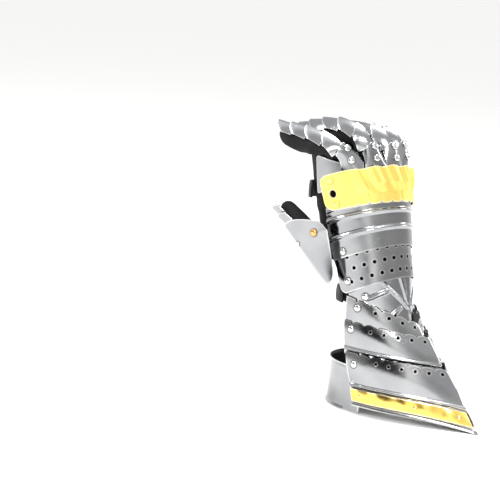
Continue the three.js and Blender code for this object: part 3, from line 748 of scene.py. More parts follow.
def suede_group():
    """Suede: nap, pores and soft worn patches of black leather."""
    group, n, given, result = node_group("Suede", {"Nap": 1.0}, ["Nap", "Worn", "Creases"])
    place = n.place()
    fine = n.noise(place, 1500.0, 4.0, 0.7)
    group.links.new(n.math("MULTIPLY", fine, given["Nap"]), result["Nap"])
    group.links.new(n.ramp(n.noise(place, 45.0, 5.0, 0.6), 0.42, 0.72), result["Worn"])
    wrinkled = n.noise(n.stretched(place, (0.6, 1.0, 1.6)), 90.0, 4.0, 0.6, 1.4)
    group.links.new(n.math("ABSOLUTE", n.math("SUBTRACT", wrinkled, 0.5)), result["Creases"])
    return group


def group_named(name):
    makers = {"Worn Edge": worn_and_highlight_edge_group, "Polish Marks": polish_group, "Suede": suede_group}
    return bpy.data.node_groups.get(name) or makers[name]()


def new_material(name):
    material = bpy.data.materials.new(name)
    material.use_nodes = True
    nodes = Nodes(material.node_tree)
    return material, nodes, material.node_tree.nodes["Principled BSDF"]


def rgb(values, factor=1.0):
    return tuple(min(1.0, v * factor) for v in values) + (1.0,)


# How wear and painted light show on every metal: reach, tone and share of the bright edges, which
# are worn edges and a painted highlight, colour of the painted shade and dirt, what the marks and
# that painted shade and dirt add to the roughness, and the heights of streaks and scratches.
WEAR = {"edge": 0.0017, "edge_tone": 0.95, "edge_share": 0.42, "shade_and_dirt": (0.012, 0.012, 0.013, 1),
        "scratch_dulls": 0.09, "cloud_dulls": 0.07, "shade_and_dirt_dulls": 0.35, "least_roughness": 0.05,
        "streak_height": 0.010, "scratch_depth": 0.012}


def dressed(material, n, shader, tone, rough, height, strength=1.0):
    """Links tone, roughness and a bump of the height in millimetres to the shader."""
    bump = n.add("ShaderNodeBump", {"Height": height, "Strength": strength, "Distance": MM})
    for value, socket in ((tone, "Base Color"), (rough, "Roughness"),
                          (bump.outputs[0], "Normal")):
        material.node_tree.links.new(value, shader.inputs[socket])
    return material


def metal(name, base, roughness, streaks, dents, tarnish=0.8, tarnish_tint=(1, 1, 1)):
    """Worked metal: cloudy tone, streaked and scratched polish, bright worn edges that are also a
    painted highlight, painted shade and dirt from the mask attribute, soft dents.
    """
    made = bpy.data.materials.get(name)
    if made:
        return made
    material, n, shader = new_material(name)
    marks = n.add("ShaderNodeGroup", node_tree=group_named("Polish Marks")).outputs
    worn_and_highlight = n.add("ShaderNodeGroup", {"Width": WEAR["edge"]}, node_tree=group_named("Worn Edge"))
    dull = tuple(c * tarnish * t for c, t in zip(base, tarnish_tint))
    bright = tuple(mix(c, WEAR["edge_tone"], WEAR["edge_share"]) for c in base)
    tone = n.blend(n.ramp(marks["Clouds"], 0.35, 0.7), rgb(dull), rgb(base))
    # Worn edges are brightened, which also paints a highlight along the rounded cut edges.
    tone = n.blend(worn_and_highlight.outputs["Mask"], tone, rgb(bright))
    # Painted shade under overlaps and about rivets and holes, with dirt, darkens the tone and dulls
    # the polish here.
    grime = n.attribute("grime")
    tone = n.blend(grime, tone, WEAR["shade_and_dirt"])
    rough = n.plus(roughness - streaks / 2, (marks["Streaks"], streaks),
                   (marks["Scratches"], WEAR["scratch_dulls"]),
                   (marks["Clouds"], WEAR["cloud_dulls"]), (grime, WEAR["shade_and_dirt_dulls"]))
    waves = n.noise(n.place(), 34.0, 2.0, 0.4)
    height = n.plus(n.math("MULTIPLY", waves, dents), (marks["Streaks"], WEAR["streak_height"]),
                    (marks["Scratches"], -WEAR["scratch_depth"]))
    shader.inputs["Metallic"].default_value = 1.0
    return dressed(material, n, shader, tone, n.math("MAXIMUM", rough, WEAR["least_roughness"]),
                   height)


def steel():
    return metal("polished_steel", tuple(finish().steel), finish().steel_roughness,
                 streaks=0.10, dents=0.55, tarnish=0.86, tarnish_tint=(0.99, 0.99, 1.02))


def dark_inside():
    """The unpolished inner side of the plates, whose near-black tone is painted shade."""
    return metal("dark_inside", (0.055, 0.054, 0.055), 0.5, streaks=0.15, dents=0.6)


def rivet_steel():
    return metal("rivet_steel", (0.74, 0.74, 0.75), 0.14, streaks=0.04, dents=0.10)


def brass_trim():
    return metal("trim_brass", tuple(finish().trim), finish().trim_roughness,
                 streaks=0.08, dents=1.3, tarnish=0.72, tarnish_tint=(1.0, 0.9, 0.8))


def knuckle_brass():
    """Satin brass, which is only partly metallic, so that it keeps its own colour."""
    made = metal("knuckle_brass", tuple(finish().knuckle), finish().knuckle_roughness,
                 streaks=0.12, dents=0.6, tarnish=0.88, tarnish_tint=(1.0, 0.96, 0.9))
    made.node_tree.nodes["Principled BSDF"].inputs["Metallic"].default_value = 0.66
    return made


def copper():
    return metal("thumb_copper", tuple(finish().copper), 0.28, streaks=0.06, dents=0.3)


def suede(name="black_suede", roughness=0.86, nap=1.0):
    """Black leather: paler where it is worn and where the nap stands up, with soft creases."""
    made = bpy.data.materials.get(name)
    if made:
        return made
    base = tuple(finish().leather)
    material, n, shader = new_material(name)
    skin = n.add("ShaderNodeGroup", {"Nap": nap}, node_tree=group_named("Suede")).outputs
    tone = n.blend(skin["Worn"], rgb(base), rgb(base, 2.2))
    tone = n.blend(n.math("MULTIPLY", skin["Nap"], 0.35), tone, rgb(base, 3.0))
    height = n.plus(n.math("MULTIPLY", skin["Nap"], 0.06), (skin["Creases"], 1.1))
    rough = n.plus(roughness, (skin["Worn"], -0.16))
    shader.inputs["Specular IOR Level"].default_value = 0.25
    return dressed(material, n, shader, tone, rough, height, 0.8)


def metal_sheet(name, surface, body, material, node, bright_inside=False):
    """A sheet of the wall's thickness that takes the place of a node."""
    size = sizes()
    piece = make_piece(name, surface, body, material, [node])
    # Unless bright_inside, the inner side gets a near-black material: painted shade on the
    # unpolished inside.
    return thicken(piece, size.wall, size.bevel, None if bright_inside else dark_inside())


def steel_sheet(name, surface, body, node, bright_inside=False):
    return metal_sheet(name, surface, body, steel(), node, bright_inside)


def scalloped_plate(body, node, rivets, relief, cover=None):
    """Steel plate whose lobed upper edge has a row of holes, with a rivet on each side."""
    lobes = LOBES[body]
    columns, cut = scallops(f"{body}_high", lobes)
    plate = Plate(f"{body}_low", f"{body}_high", columns=columns, relief=relief, top=cut)
    along = lobes["first"] + lobes["pitch"] * np.arange(lobes["holes"])
    centres = plate.spot(edge_places(plate, along, millimetres(sizes().hole_inset)))[0]
    sides = plate.spot(edge_places(plate, np.array([float(lobes["rivet"])]), lobes["inset"]))
    surface = plate.surface(under=cover).paint_shade_and_dirt(sides[0], "rivet").holes(centres, "hole")
    steel_sheet(f"{node}_sheet", surface, body, node)
    add_rivets(rivets, sides, body)
    return plate


def hand_plate(name, node, plate, rivets, place, pierced=(), **covers):
    """Steel plate on the hand with a rivet on each side, and a hole at each pierced place."""
    sides = plate.spot(pair(*place))
    surface = plate.surface(**covers).paint_shade_and_dirt(sides[0], "rivet")
    if pierced:
        surface.holes(plate.spot(pierced)[0], "hole")
    steel_sheet(name, surface, "hand", node)
    add_rivets(rivets, sides, "hand")


# ---- cuff ---------------------------------------------------------------
# Shares of the cuff's height: the rolled rim, the trims and the flute; then, in millimetres,
# how far the rim and the trims stand out.
RIM_SHARE, TRIM_SHARES, FLUTE_AT = 0.07, (0.09, 0.33), 0.39
RIM_ROLL, TRIM_LIFT = 1.6, 2.2


class GAUNTLET_OT_cuff(Operator):
    """Build the pointed cuff: scalloped plate, two brass trims, closing band and their rivets"""

    bl_idname = "gauntlet.cuff"
    bl_label = "Cuff"

    def execute(self, context):
        self.plate()
        for name, side in (("cuff_trim_thumb_side", -1), ("cuff_trim_little_side", 1)):
            self.trim(name, side)
        self.band()
        return {"FINISHED"}

    def plate(self):
        """Relief: a rolled rim at the mouth and a raised flute above the trims."""
        def relief(plate, q):
            roll = RIM_ROLL * np.sqrt(np.clip(1 - (q / RIM_SHARE) ** 2, 0, 1))
            return roll + bead(q, FLUTE_AT, 0.045, 1.9) + bow(q, FLUTE_AT, 1.0, 1.7)

        plate = scalloped_plate("cuff", "cuff_plate", "cuff_side_rivets", relief)
        add_rivets("cuff_band_rivets", plate.spot(pair(0.97, 0.42)), "cuff", small=True)

    def trim(self, name, side):
        """The cuff's own face lifted by the trim's height, bowed across and softly rippled
        along: ripple = 0.315 sin(34 s) sqrt(sin(pi v)), v from 0 to 1 across the trim."""
        low, high = TRIM_SHARES
        plate = Plate("cuff_low", "cuff_high")
        s = np.linspace(0.006, 0.99, 150)[:, None] * side
        s = s if side > 0 else s[::-1]
        q = np.linspace(low, high, 18)[None, :] + 0 * s
        ripple = 0.315 * np.sin(34 * s) * np.sin(pi * (q - low) / (high - low)) ** 0.5
        ruled = plate.ruled(s, q)
        lift = TRIM_LIFT + ripple + bow(q, low, high, 0.5)
        grid = ruled + lift[..., None] * grid_normals(ruled)
        metal_sheet(f"{name}_strip", Surface(grid), "cuff", brass_trim(), name)
        heads = plate.spot([(side * s, (low + high) / 2) for s in (0.08, 0.42, 0.9)], TRIM_LIFT)
        add_rivets(f"{name}_rivets", heads, "cuff", brass_trim(), small=True)

    def band(self):
        """Part of an ellipse about the arm, with a rolled lip along the upper and lower rim."""
        angles = np.radians(np.linspace(BAND["begin"], 360 - BAND["begin"], 190))[:, None]
        z = np.linspace(0, BAND["height"], 58)[None, :]
        past = np.degrees(np.minimum(angles, 2 * pi - angles)) - BAND["lip_from"]
        roll = np.clip(past / BAND["lip_over"], 0, 1) * BAND["rim"]
        rim = np.minimum(z, BAND["height"] - z)
        out = roll * np.sqrt(np.clip(1 - (rim / BAND["lip"]) ** 2, 0, 1))
        grid = np.stack([BAND["centre"] + (BAND["depth"] + out) * np.cos(angles),
                         (BAND["width"] + out) * np.sin(angles), z + 0 * angles], axis=-1)
        steel_sheet("cuff_band_sheet", Surface(grid), "cuff", "cuff_band")


# ---- wrist lames --------------------------------------------------------
class GAUNTLET_OT_lames(Operator):
    """Build the two scalloped, pierced lames of the wrist"""

    bl_idname = "gauntlet.lames"
    bl_label = "Wrist lames"

    def execute(self, context):
        scalloped_plate(
            "lower_lame", "lower_lame", "lower_lame_rivets",
            lambda plate, q: bead(q, 0.3, 0.06, 1.9) + bow(q, 0.3, 1.0, 1.5), "cuff_high")
        scalloped_plate(
            "upper_lame", "upper_lame", "upper_lame_rivets",
            lambda plate, q: bow(q, 0.0, 1.0, 1.0), "lower_lame_high")
        return {"FINISHED"}


# Raised lines of the wrist plate, on each side of the keel: from and to, as millimetres round
# from the keel and up from the lower edge, then half width and height.
WRIST_LINES = (
    (0, 12, 0, 60, 2.4, 1.8), (1, 26, 8, 60, 2.4, 1.6), (1, 24, 30, 45, 2.8, 2.1),
    (20, 36, 45, 17, 2.4, 2.0), (9.6, 23, 23, 8.5, 2.2, 1.9),
)


def line_relief(across, up, lines):
    """The highest of the beads over the distance to line segments, tapered at their ends."""
    total = np.zeros_like(across)
    for x0, y0, x1, y1, half, height in lines:
        span = np.hypot(x1 - x0, y1 - y0)
        dx, dy = (x1 - x0) / span, (y1 - y0) / span
        along = ((across - x0) * dx + (up - y0) * dy) / span
        aside = np.abs((across - x0) * dy - (up - y0) * dx)
        ends = np.clip(np.minimum(along, 1 - along) * 5 + 0.4, 0, 1)
        total = np.maximum(total, bead(aside, 0, half, height) * ends)
    return total


class GAUNTLET_OT_wrist(Operator):
    """Build the keeled wrist plate with its fan of raised lines, and the pierced lame above it"""

    bl_idname = "gauntlet.wrist"
    bl_label = "Wrist plate and pierced lame"

    def execute(self, context):
        def fan(plate, q):
            return line_relief(np.abs(plate.across), plate.up, WRIST_LINES)

        plate = Plate("wrist_low", "wrist_high", relief=fan)
        hand_plate("wrist_plate_sheet", "wrist_plate", plate, "wrist_rivets", (0.72, 0.5),
                   under="upper_lame_high", over="pierced_low")
        lame = Plate("pierced_low", "pierced_high",
                     bottom=lambda s: round_corner(s, 0.12, 11.0))
        places = [(HOLE_ROWS["first"] + (k + row % 2 / 2) * HOLE_ROWS["pitch"], q)
                  for row, q in enumerate(HOLE_ROWS["heights"]) for k in range(HOLE_ROWS["count"])]
        hand_plate("perforated_lame_sheet", "perforated_lame", lame, "perforated_rivets",
                   (0.85, 0.27), places, over="metacarpal_low")
        return {"FINISHED"}


# ---- back of the hand ---------------------------------------------------
# Knuckle plate: pitch, number and height of the gadroons, slant of the folds over the height,
# share of the height at which they take over, and their pitch and height.
GADROON = {"pitch": 12.0, "count": 7, "height": 0.455, "slant": 10.0, "turn": 0.42,
           "fold": 19.0, "fold_height": 3.04}


def gadroon_phase(across):
    """Place across the gadroons, in pitches from where the first one begins."""
    return across / GADROON["pitch"] + GADROON["count"] / 2


class GAUNTLET_OT_hand_back(Operator):
    """Build the fluted metacarpal plate, the brass knuckle plate and the lame under it"""

    bl_idname = "gauntlet.hand_back"
    bl_label = "Back of the hand"

    def execute(self, context):
        self.metacarpal()
        self.knuckles()
        lame = Plate("lame_low", "lame_high", top=lambda s: round_corner(s, 0.1, 6.0),
                     bottom=lambda s: round_corner(s, 0.05, 2.0))
        steel_sheet("knuckle_lame_sheet", lame.surface(), "hand", "knuckle_lame")
        return {"FINISHED"}

    def metacarpal(self):
        """Relief: two bold raised flutes across the plate and a faint one above them."""
        def relief(plate, q):
            return (bead(q, 0.37, 0.055, 1.8) + bead(q, 0.69, 0.055, 1.8)
                    + bead(q, 0.86, 0.03, 0.5))

        plate = Plate("metacarpal_low", "metacarpal_high", relief=relief,
                      bottom=lambda s: round_corner(s, 0.1, 6.0))
        hand_plate("metacarpal_sheet", "metacarpal_plate", plate, "metacarpal_rivets",
                   (0.8, 0.11), over="knuckle_low")

    def knuckles(self):
        """Relief: low gadroons sqrt(1 - (2 x - 1)^2) along the lower edge, which is cut to a lobe
        for each, and above the turn slanted folds that rise slowly and drop steeply."""
        reach = GADROON["pitch"] * GADROON["count"] / 2

        def inside(across):
            return np.clip((reach - np.abs(across)) / 4 + 0.5, 0, 1)

        def relief(plate, q):
            lower = np.clip((GADROON["turn"] + 0.1 - q) * 5, 0, 1)
            x = gadroon_phase(plate.across) % 1.0
            lobes = GADROON["height"] * np.sqrt(np.clip(1 - (2 * x - 1) ** 2, 0, 1))
            slant = GADROON["slant"] * (q - GADROON["turn"])
            fold = ((plate.across + slant) / GADROON["fold"] + 0.5) % 1.0
            step = np.where(fold < 0.82, fold / 0.82, (1 - fold) / 0.18)
            ripple = 0.16 * np.cos(4 * pi * fold)
            upper = np.clip((q - GADROON["turn"] + 0.12) * 4, 0, 1)
            folds = GADROON["fold_height"] * (step ** 1.4 + ripple + 0.2) * upper
            return inside(plate.across) * (lobes * lower + folds)

        def around(s):
            row = edge_curve("knuckle_low", s)
            passed = run_length(row, 0)
            return passed - np.interp(0, s, passed)

        def bottom(s):
            x = gadroon_phase(around(s)) % 1.0
            lobe = 1 - np.sqrt(np.clip(1 - (2 * x - 1) ** 2, 0, 1))
            return round_corner(s, 0.16, 9.0) + 3.0 * lobe * inside(around(s))

        def top(s):
            wave = 0.5 - 0.5 * np.cos(2 * pi * around(s) / 20.0)
            return round_corner(s, 0.12, 6.0) + 1.4 * wave * inside(around(s))

        plate = Plate("knuckle_low", "knuckle_high", relief=relief, top=top, bottom=bottom)
        eyelets = plate.spot(pair(0.84, 0.45))[0]
        heads = plate.spot([(-0.82, 0.14), (-0.84, 0.82), (0.82, 0.14), (0.84, 0.82)])
        surface = plate.surface().paint_shade_and_dirt(heads[0], "plate_rivet").holes(eyelets, "eyelet")
        metal_sheet("knuckle_plate_sheet", surface, "hand", knuckle_brass(),
                    "knuckle_plate")
        add_rivets("knuckle_rivets", heads, "hand", knuckle_brass())


# ---- fingers and thumb --------------------------------------------------
class GAUNTLET_OT_fingers(Operator):
    """Build the riveted root plates and the ridged scales of the four fingers"""

    bl_idname = "gauntlet.fingers"
    bl_label = "Finger plates"

    def execute(self, context):
        for name, finger in FINGERS.items():
            self.finger(name, finger)
        return {"FINISHED"}

    def finger(self, name, finger):
        line = finger_line(finger)
        root = Gutter(line, 0, ROOT_LENGTH, lambda t: finger["half"] + 0 * t,
                      lambda t: mix(1.6, 8, t), tucked=False, rounding=0.3, keel=0.15)
        point, normal, _ = line.frame(np.array(finger["rivets"], float))
        steel_sheet(f"{name}_root_sheet", root.surface(steps=34).paint_shade_and_dirt(point, "root_rivet"),
                    "hand", f"{name}_root_plate")
        add_rivets(f"{name}_root_rivets", (point, normal), "hand")

        rest = line.length - ROOT_LENGTH
        shares = 0.86 ** np.arange(finger["scales"])
        ends = ROOT_LENGTH + rest * np.cumsum(shares) / shares.sum()
        starts = np.concatenate([[ROOT_LENGTH], ends[:-1]]) - 6.0
        for k, (start, end) in enumerate(zip(starts, ends), start=1):
            def out(t, start=start, end=end):
                return np.clip((mix(start, end, t) - ROOT_LENGTH) / rest, 0, 1)
            scale = Gutter(line, start, end,
                           lambda t, out=out: finger["half"] * mix(1.02, 0.86, out(t)),
                           lambda t, out=out: mix(*SCALE_DROP, out(t)))
            steel_sheet(f"{name}_scale_{k}_sheet", scale.surface(), "hand",
                        f"{name}_scale_{k}")


class GAUNTLET_OT_thumb(Operator):
    """Build the thumb's leaf-shaped plate, its two scales and its rivets"""

    bl_idname = "gauntlet.thumb"
    bl_label = "Thumb plates"

    def execute(self, context):
        line = thumb_line()

        def leaf(t):
            return (LEAF["narrow"] + LEAF["widening"]
                    * np.clip(t / LEAF["widest_at"], 0, 1) ** 0.75)

        plate = Gutter(line, 0, line.length * LEAF["share"], leaf, lambda t: leaf(t) * LEAF["drop"],
                       tucked=False, rounding=LEAF["rounding"], keel=0.45, lean=LEAF["lean"])
        big, small = plate.spot([(0.74, 0.68)]), plate.spot([(0.0, 0.68)])
        surface = plate.surface(sides=56, steps=64).paint_shade_and_dirt(big[0], "rivet")
        steel_sheet("thumb_plate_sheet", surface.paint_shade_and_dirt(small[0], "tack"), "hand", "thumb_plate",
                    bright_inside=True)
        add_rivets("thumb_copper_rivet", big, "hand", copper())
        add_rivets("thumb_small_rivet", small, "hand", small=True)
        for k, (start, stop, half, drop) in enumerate(THUMB_TIPS, 1):
            scale = Gutter(line, line.length * start, line.length * stop,
                           lambda t, half=half: half + 0 * t, lambda t, drop=drop: drop + 0 * t)
            steel_sheet(f"thumb_scale_{k}_sheet", scale.surface(), "hand", f"thumb_scale_{k}")
        return {"FINISHED"}


# ---- leather ------------------------------------------------------------
def ellipse_rings(rows, sides):
    """Rings x = centre + d cos a, y = w sin a, turned by the twist, one for each table row."""
    a = np.linspace(0, 2 * pi, sides, endpoint=False)[:, None]
    z, centre, depth, width, twist = np.asarray(rows, float).T
    x, y = turned(centre, depth * np.cos(a), width * np.sin(a), twist)
    return np.stack([x, y, z + 0 * a], axis=-1)


def capped(grid):
    """Closes both ends of a tube with a ring at its own middle."""
    first, last = grid[:, :1].mean(axis=0), grid[:, -1:].mean(axis=0)
    ends = [np.broadcast_to(end, (len(grid), 1, 3)) for end in (first, last)]
    return np.concatenate([ends[0], grid, ends[1]], axis=1)


def palm_tube():
    """The palm's sections joined smoothly: each column of the table interpolated over z."""
    table = np.asarray(PALM, float)
    z = np.linspace(table[0, 0], table[-1, 0], 60)
    rows = np.stack([z] + [np.interp(z, table[:, 0], table[:, k]) for k in range(1, 5)], axis=-1)
    return ellipse_rings(rows, 72)


def finger_tube(line, begin, across, deep, below, creases):
    """Ellipses hung under a ridge line; each crease narrows them by a small bell curve."""
    share_along = np.linspace(0, 1, 70)[None, :]
    a = np.linspace(0, 2 * pi, 32, endpoint=False)[:, None]
    cap = np.sqrt(np.clip(1 - (np.clip(share_along - 0.9, 0, None) / 0.1) ** 2, 0, 1))
    pinch = 1 - sum(0.07 * np.exp(-((share_along - c) / 0.018) ** 2) for c in creases)
    along = line.length * mix(begin, 0.985, share_along)
    point, normal, side = line.frame(along + 0 * a)
    depth = deep(share_along) + 0 * a
    sink = below(share_along) + depth
    around = np.cos(a) * across(share_along) * cap * pinch
    out = np.sin(a) * depth * cap * pinch
    return point + around[..., None] * side - (sink + out)[..., None] * normal


# Skin of the glove, in metres: step of its mesh, height of the cap that is cut off the wrist,
# and how far the wrinkles lie below the smooth skin.
SKIN = {"voxel": 0.0015, "cap": 0.0012, "sink": 0.0002}


class GAUNTLET_OT_glove(Operator):
    """Build the black leather glove: one soft hollow skin over palm, fingers and thumb"""

    bl_idname = "gauntlet.glove"
    bl_label = "Glove"

    def execute(self, context):
        tubes = [palm_tube()]
        for finger in FINGERS.values():
            tubes.append(finger_tube(
                finger_line(finger), 0.08,
                lambda t, half=finger["half"]: half * mix(0.63, 0.5, t),
                lambda t, more=finger["deep"]: (
                    mix(9, 8, t) + more * np.clip(1 - 4 * t, 0, 1)
                    + 3.5 * np.sin(pi * np.clip(t - 0.35, 0, 1) / 0.65)),
                lambda t: 6.1 + 0 * t, (0.3, 0.34, 0.62, 0.65)))
        tubes.append(finger_tube(
            thumb_line(), 0.3, lambda t: mix(10, 7, t), lambda t: mix(15, 7, t),
            lambda t: 6.6 + 12 * np.clip(1 - t / 0.4, 0, 1), (0.55, 0.6)))
        surface = joined([Surface(capped(tube), closed=True) for tube in tubes])
        glove = make_piece("leather_glove", surface, "hand", suede(), ["glove"])
        weld(glove)
        self.fuse(glove)
        self.open_wrist(glove)
        self.wrinkle(glove)
        settled(glove.modifiers.new("thickness", "SOLIDIFY"), thickness=sizes().leather,
                offset=-1.0)
        return {"FINISHED"}

    def fuse(self, glove):
        """Melts the tubes into one skin and smooths where they meet."""
        settled(glove.modifiers.new("fuse", "REMESH"), mode="VOXEL", voxel_size=SKIN["voxel"])
        settled(glove.modifiers.new("smooth", "SMOOTH"), factor=0.5, iterations=5)
        graph = bpy.context.evaluated_depsgraph_get()
        fused = bpy.data.meshes.new_from_object(glove.evaluated_get(graph))
        glove.modifiers.clear()
        material = glove.data.materials[0]
        glove.data = fused
        fused.materials.clear()
        fused.materials.append(material)
        fused.shade_smooth()

    def open_wrist(self, glove):
        """Removes the cap at the wrist, so that the hand can go in."""
        shape = bmesh.new()
        shape.from_mesh(glove.data)
        low = min(v.co.z for v in shape.verts) + SKIN["cap"]
        bmesh.ops.delete(shape, geom=[v for v in shape.verts if v.co.z < low], context="VERTS")
        shape.to_mesh(glove.data)
        shape.free()

    def wrinkle(self, glove):
        """Moves the skin along its normals by crossing waves that fade in and out."""
        mesh = glove.data
        count = len(mesh.vertices)
        points, normals = np.empty(count * 3), np.empty(count * 3)
        mesh.vertices.foreach_get("co", points)
        mesh.vertices.foreach_get("normal", normals)
        points, normals = points.reshape(-1, 3), normals.reshape(-1, 3)
        x, y, z = ((points - origin()) / MM).T
        folds = np.sin(0.42 * z + 1.3 * np.sin(0.07 * y) + 0.05 * x)
        folds = folds * np.clip(np.sin(0.045 * z + 0.08 * y + 0.9), 0, 1)
        cross = np.sin(0.31 * x - 0.22 * z + 1.1 * np.sin(0.11 * y))
        cross = cross * np.clip(np.sin(0.06 * x + 0.05 * z), 0, 1)
        height = (0.38 * folds + 0.26 * cross) * MM - SKIN["sink"]
        mesh.vertices.foreach_set("co", (points + normals * height[:, None]).ravel())
        mesh.update()


# Straps: centre, depth, width, twist, low, high, slant, where they leave the plates.
STRAPS = {
    "wrist_strap": (-48, 31.4, 35.4, -4, 107, 121, 0.0, 100),
    "knuckle_strap": (-76, 46, 47.4, -17, 210, 228, 0.15, 108),
}
STRAP_ROUNDING = 0.0004


class GAUNTLET_OT_straps(Operator):
    """Build the two leather straps round the palm side"""

    bl_idname = "gauntlet.straps"
    bl_label = "Straps"

    def execute(self, context):
        for name, row in STRAPS.items():
            self.strap(name, *row)
        return {"FINISHED"}

    def strap(self, name, centre, depth, width, twist, low, high, slant, begin):
        """Part of an ellipse, crowned across its width: out = -v^2 / 2, v from -1 to 1."""
        a = np.radians(np.linspace(begin, 360 - begin, 120))[:, None]
        v = np.linspace(-1, 1, 15)[None, :]
        crown = -0.5 * v * v
        x, y = (depth + crown) * np.cos(a), (width + crown) * np.sin(a)
        z = (low + high) / 2 + v * (high - low) / 2 + slant * x
        grid = np.stack([*turned(centre, x, y, twist), z], axis=-1)
        piece = make_piece(f"{name}_leather", Surface(grid), "hand",
                           suede("strap_leather", 0.55, 0.4), [name])
        thicken(piece, sizes().strap, STRAP_ROUNDING)


# ---- stage --------------------------------------------------------------
# Brightness of the room at each azimuth in degrees, as a closed ramp.
ROOM = ((-180, 0.75), (-162, 0.30), (-145, 0.20), (-106, 0.20), (-100, 0.007), (-77, 0.007),
        (-72, 0.25), (-67, 1.0), (-57, 0.95), (-47, 0.50), (-30, 0.34), (45, 0.33), (72, 0.38),
        (92, 1.0), (112, 0.9), (126, 0.5), (150, 0.5), (168, 0.85), (180, 0.75))

# Sines of the elevation over which the room turns into the ceiling, and the ceiling into its
# brighter middle; the ceiling's two tones; and the strength of the whole.
ROOM_TOP, CEILING_MIDDLE = (0.20, 0.50), (0.82, 0.95)
CEILING_TONES = ((0.50, 0.50, 0.50, 1), (1.0, 1.0, 1.0, 1))
ROOM_STRENGTH = 1.7

# Soft panels above, at the camera's left, over the camera and behind on the right: place,
# what they point at, size in metres and power in watts.
PANELS = {
    "panel_above": ((-0.05, 0.0, 1.7), (0.0, 0.0, 0.15), 0.6, 24.0),
    "panel_left": ((-1.4, -0.9, 1.2), (0.0, 0.0, 0.15), 0.5, 9.0),
    "panel_front": ((0.75, -1.45, 1.2), (0.0, 0.0, 0.15), 0.5, 16.0),
    "panel_right": ((0.9, 1.5, 0.9), (0.0, 0.0, 0.12), 0.7, 8.0),
}

# Camera: width of its sensor in millimetres; the cuff's point and the height aimed at, in metres;
# and where that point falls, as shares of the frame's width from its middle.
SENSOR = 36
CUFF_POINT, AIM_HEIGHT = 95 * MM, 150 * MM
POINT_SHOWN = (0.454, -0.37)
GROUND_HALF = 30.0


def room_tone(n, axes):
    """Colour ramp over the azimuth of a place or a direction."""
    turn = n.math("ARCTAN2", axes[1], axes[0])
    around = n.add("ShaderNodeMapRange", {"Value": turn, "From Min": -pi, "From Max": pi})
    ramp = n.add("ShaderNodeValToRGB", {"Fac": around.outputs["Result"]})
    elements = ramp.color_ramp.elements
    while len(elements) < len(ROOM):
        elements.new(0.5)
    for element, (azimuth, bright) in zip(elements, ROOM):
        element.position = (azimuth + 180) / 360
        element.color = (bright, bright * 0.995, bright * 0.97, 1)
    return ramp.outputs["Color"]


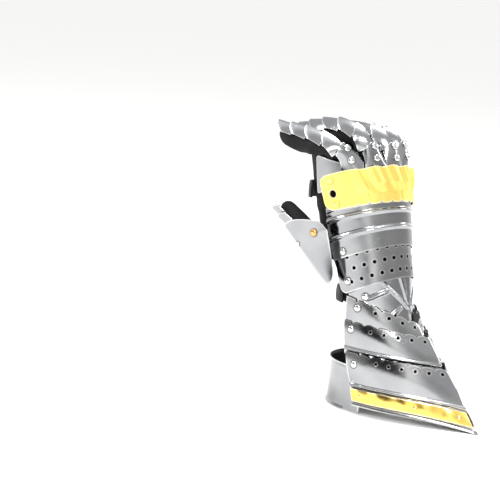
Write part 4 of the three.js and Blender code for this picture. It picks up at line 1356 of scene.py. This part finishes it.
class GAUNTLET_OT_stage(Operator):
    """Build the pale ground, the soft studio light and the camera"""

    bl_idname = "gauntlet.stage"
    bl_label = "Stage"

    def execute(self, context):
        stage = context.scene.gauntlet_stage
        self.ground(stage)
        self.surroundings(context.scene)
        self.lights()
        self.camera(context.scene, stage)
        return {"FINISHED"}

    def ground(self, stage):
        """A flat, plain, pale ground."""
        corners = ((-1, -1), (1, -1), (1, 1), (-1, 1))
        mesh = bpy.data.meshes.new("ground")
        mesh.from_pydata([(x * GROUND_HALF, y * GROUND_HALF, 0) for x, y in corners], [],
                         [(0, 1, 2, 3)])
        ground = bpy.data.objects.new("ground", mesh)
        bpy.context.collection.objects.link(ground)
        material, _, shader = new_material("pale_ground")
        shader.inputs["Base Color"].default_value = rgb(stage.ground)
        shader.inputs["Roughness"].default_value = 0.8
        shader.inputs["Specular IOR Level"].default_value = 0.1
        mesh.materials.append(material)

    def surroundings(self, scene):
        """A pale room whose brightness changes round the horizon, so that polished plates show
        light and dark bands, under a bright ceiling."""
        world = bpy.data.worlds.new("studio")
        world.use_nodes = True
        scene.world = world
        n = Nodes(world.node_tree)
        direction = n.add("ShaderNodeTexCoord").outputs["Generated"]
        axes = n.add("ShaderNodeSeparateXYZ", {0: direction}).outputs
        ceiling = n.blend(n.ramp(axes[2], *CEILING_MIDDLE), *CEILING_TONES)
        tone = n.blend(n.ramp(axes[2], *ROOM_TOP), room_tone(n, axes), ceiling)
        background = world.node_tree.nodes["Background"]
        world.node_tree.links.new(tone, background.inputs["Color"])
        background.inputs["Strength"].default_value = ROOM_STRENGTH
        scene.view_settings.view_transform = "Standard"

    def lights(self):
        """Square panels, each turned from its place to what it points at."""
        for name, (place, target, size, power) in PANELS.items():
            light = settled(bpy.data.lights.new(name, "AREA"), shape="SQUARE", size=size,
                            energy=power)
            lamp = bpy.data.objects.new(name, light)
            lamp.location = place
            aim = Vector(target) - Vector(place)
            lamp.rotation_euler = aim.to_track_quat("-Z", "Y").to_euler()
            bpy.context.collection.objects.link(lamp)

    def camera(self, scene, stage):
        """Looks past the wrist's axis so that the cuff's point falls at a set place."""
        p, e, q = stage.azimuth, stage.elevation, stage.roll
        right = Vector((cos(p), sin(p), 0))
        ahead = Vector((-sin(p), cos(p), 0))
        up = Vector((0, 0, 1))
        forward = cos(e) * ahead - sin(e) * up
        upward = sin(e) * ahead + cos(e) * up
        up_rolled = cos(q) * upward - sin(q) * right
        right_rolled = cos(q) * right + sin(q) * upward
        tip = Vector((CUFF_POINT, 0, 0))
        depth = stage.distance + (tip - Vector((0, 0, AIM_HEIGHT))).dot(forward)
        focal = stage.lens / SENSOR
        aside, above = POINT_SHOWN
        place = tip - depth * (aside / focal * right_rolled + above / focal * up_rolled + forward)
        data = settled(bpy.data.cameras.new("camera"), lens=stage.lens, sensor_width=SENSOR)
        camera = bpy.data.objects.new("camera", data)
        turn = Matrix((right_rolled, up_rolled, -forward)).transposed()
        camera.matrix_world = Matrix.Translation(place + Vector(origin())) @ turn.to_4x4()
        bpy.context.collection.objects.link(camera)
        scene.camera = camera


# ---- panel and registration ---------------------------------------------
STEPS = (GAUNTLET_OT_cuff, GAUNTLET_OT_lames, GAUNTLET_OT_wrist, GAUNTLET_OT_hand_back,
         GAUNTLET_OT_fingers, GAUNTLET_OT_thumb, GAUNTLET_OT_glove, GAUNTLET_OT_straps,
         GAUNTLET_OT_stage)


class GAUNTLET_PT_sidebar(Panel):
    """Sizes, finishes and the steps that build the gauntlet"""

    bl_idname = "GAUNTLET_PT_sidebar"
    bl_label = "Armoured Gauntlet"
    bl_space_type = "VIEW_3D"
    bl_region_type = "UI"
    bl_category = "Gauntlet"

    def draw(self, context):
        for group in ("gauntlet_sizes", "gauntlet_finish", "gauntlet_stage"):
            settings = getattr(context.scene, group)
            box = self.layout.box()
            for name in settings.__annotations__:
                box.prop(settings, name)
        for step in STEPS:
            self.layout.operator(step.bl_idname)


GROUPS = {"gauntlet_sizes": GauntletSizes, "gauntlet_finish": GauntletFinish,
          "gauntlet_stage": GauntletStage}


def register():
    for cls in (*GROUPS.values(), *STEPS, GAUNTLET_PT_sidebar):
        bpy.utils.register_class(cls)
    for name, cls in GROUPS.items():
        setattr(bpy.types.Scene, name, PointerProperty(type=cls))


def unregister():
    for name in GROUPS:
        delattr(bpy.types.Scene, name)
    for cls in (GAUNTLET_PT_sidebar, *reversed(STEPS), *GROUPS.values()):
        bpy.utils.unregister_class(cls)


def main():
    register()
    for step in STEPS:
        family, name = step.bl_idname.split(".")
        getattr(getattr(bpy.ops, family), name)()


if __name__ == "__main__":
    main()
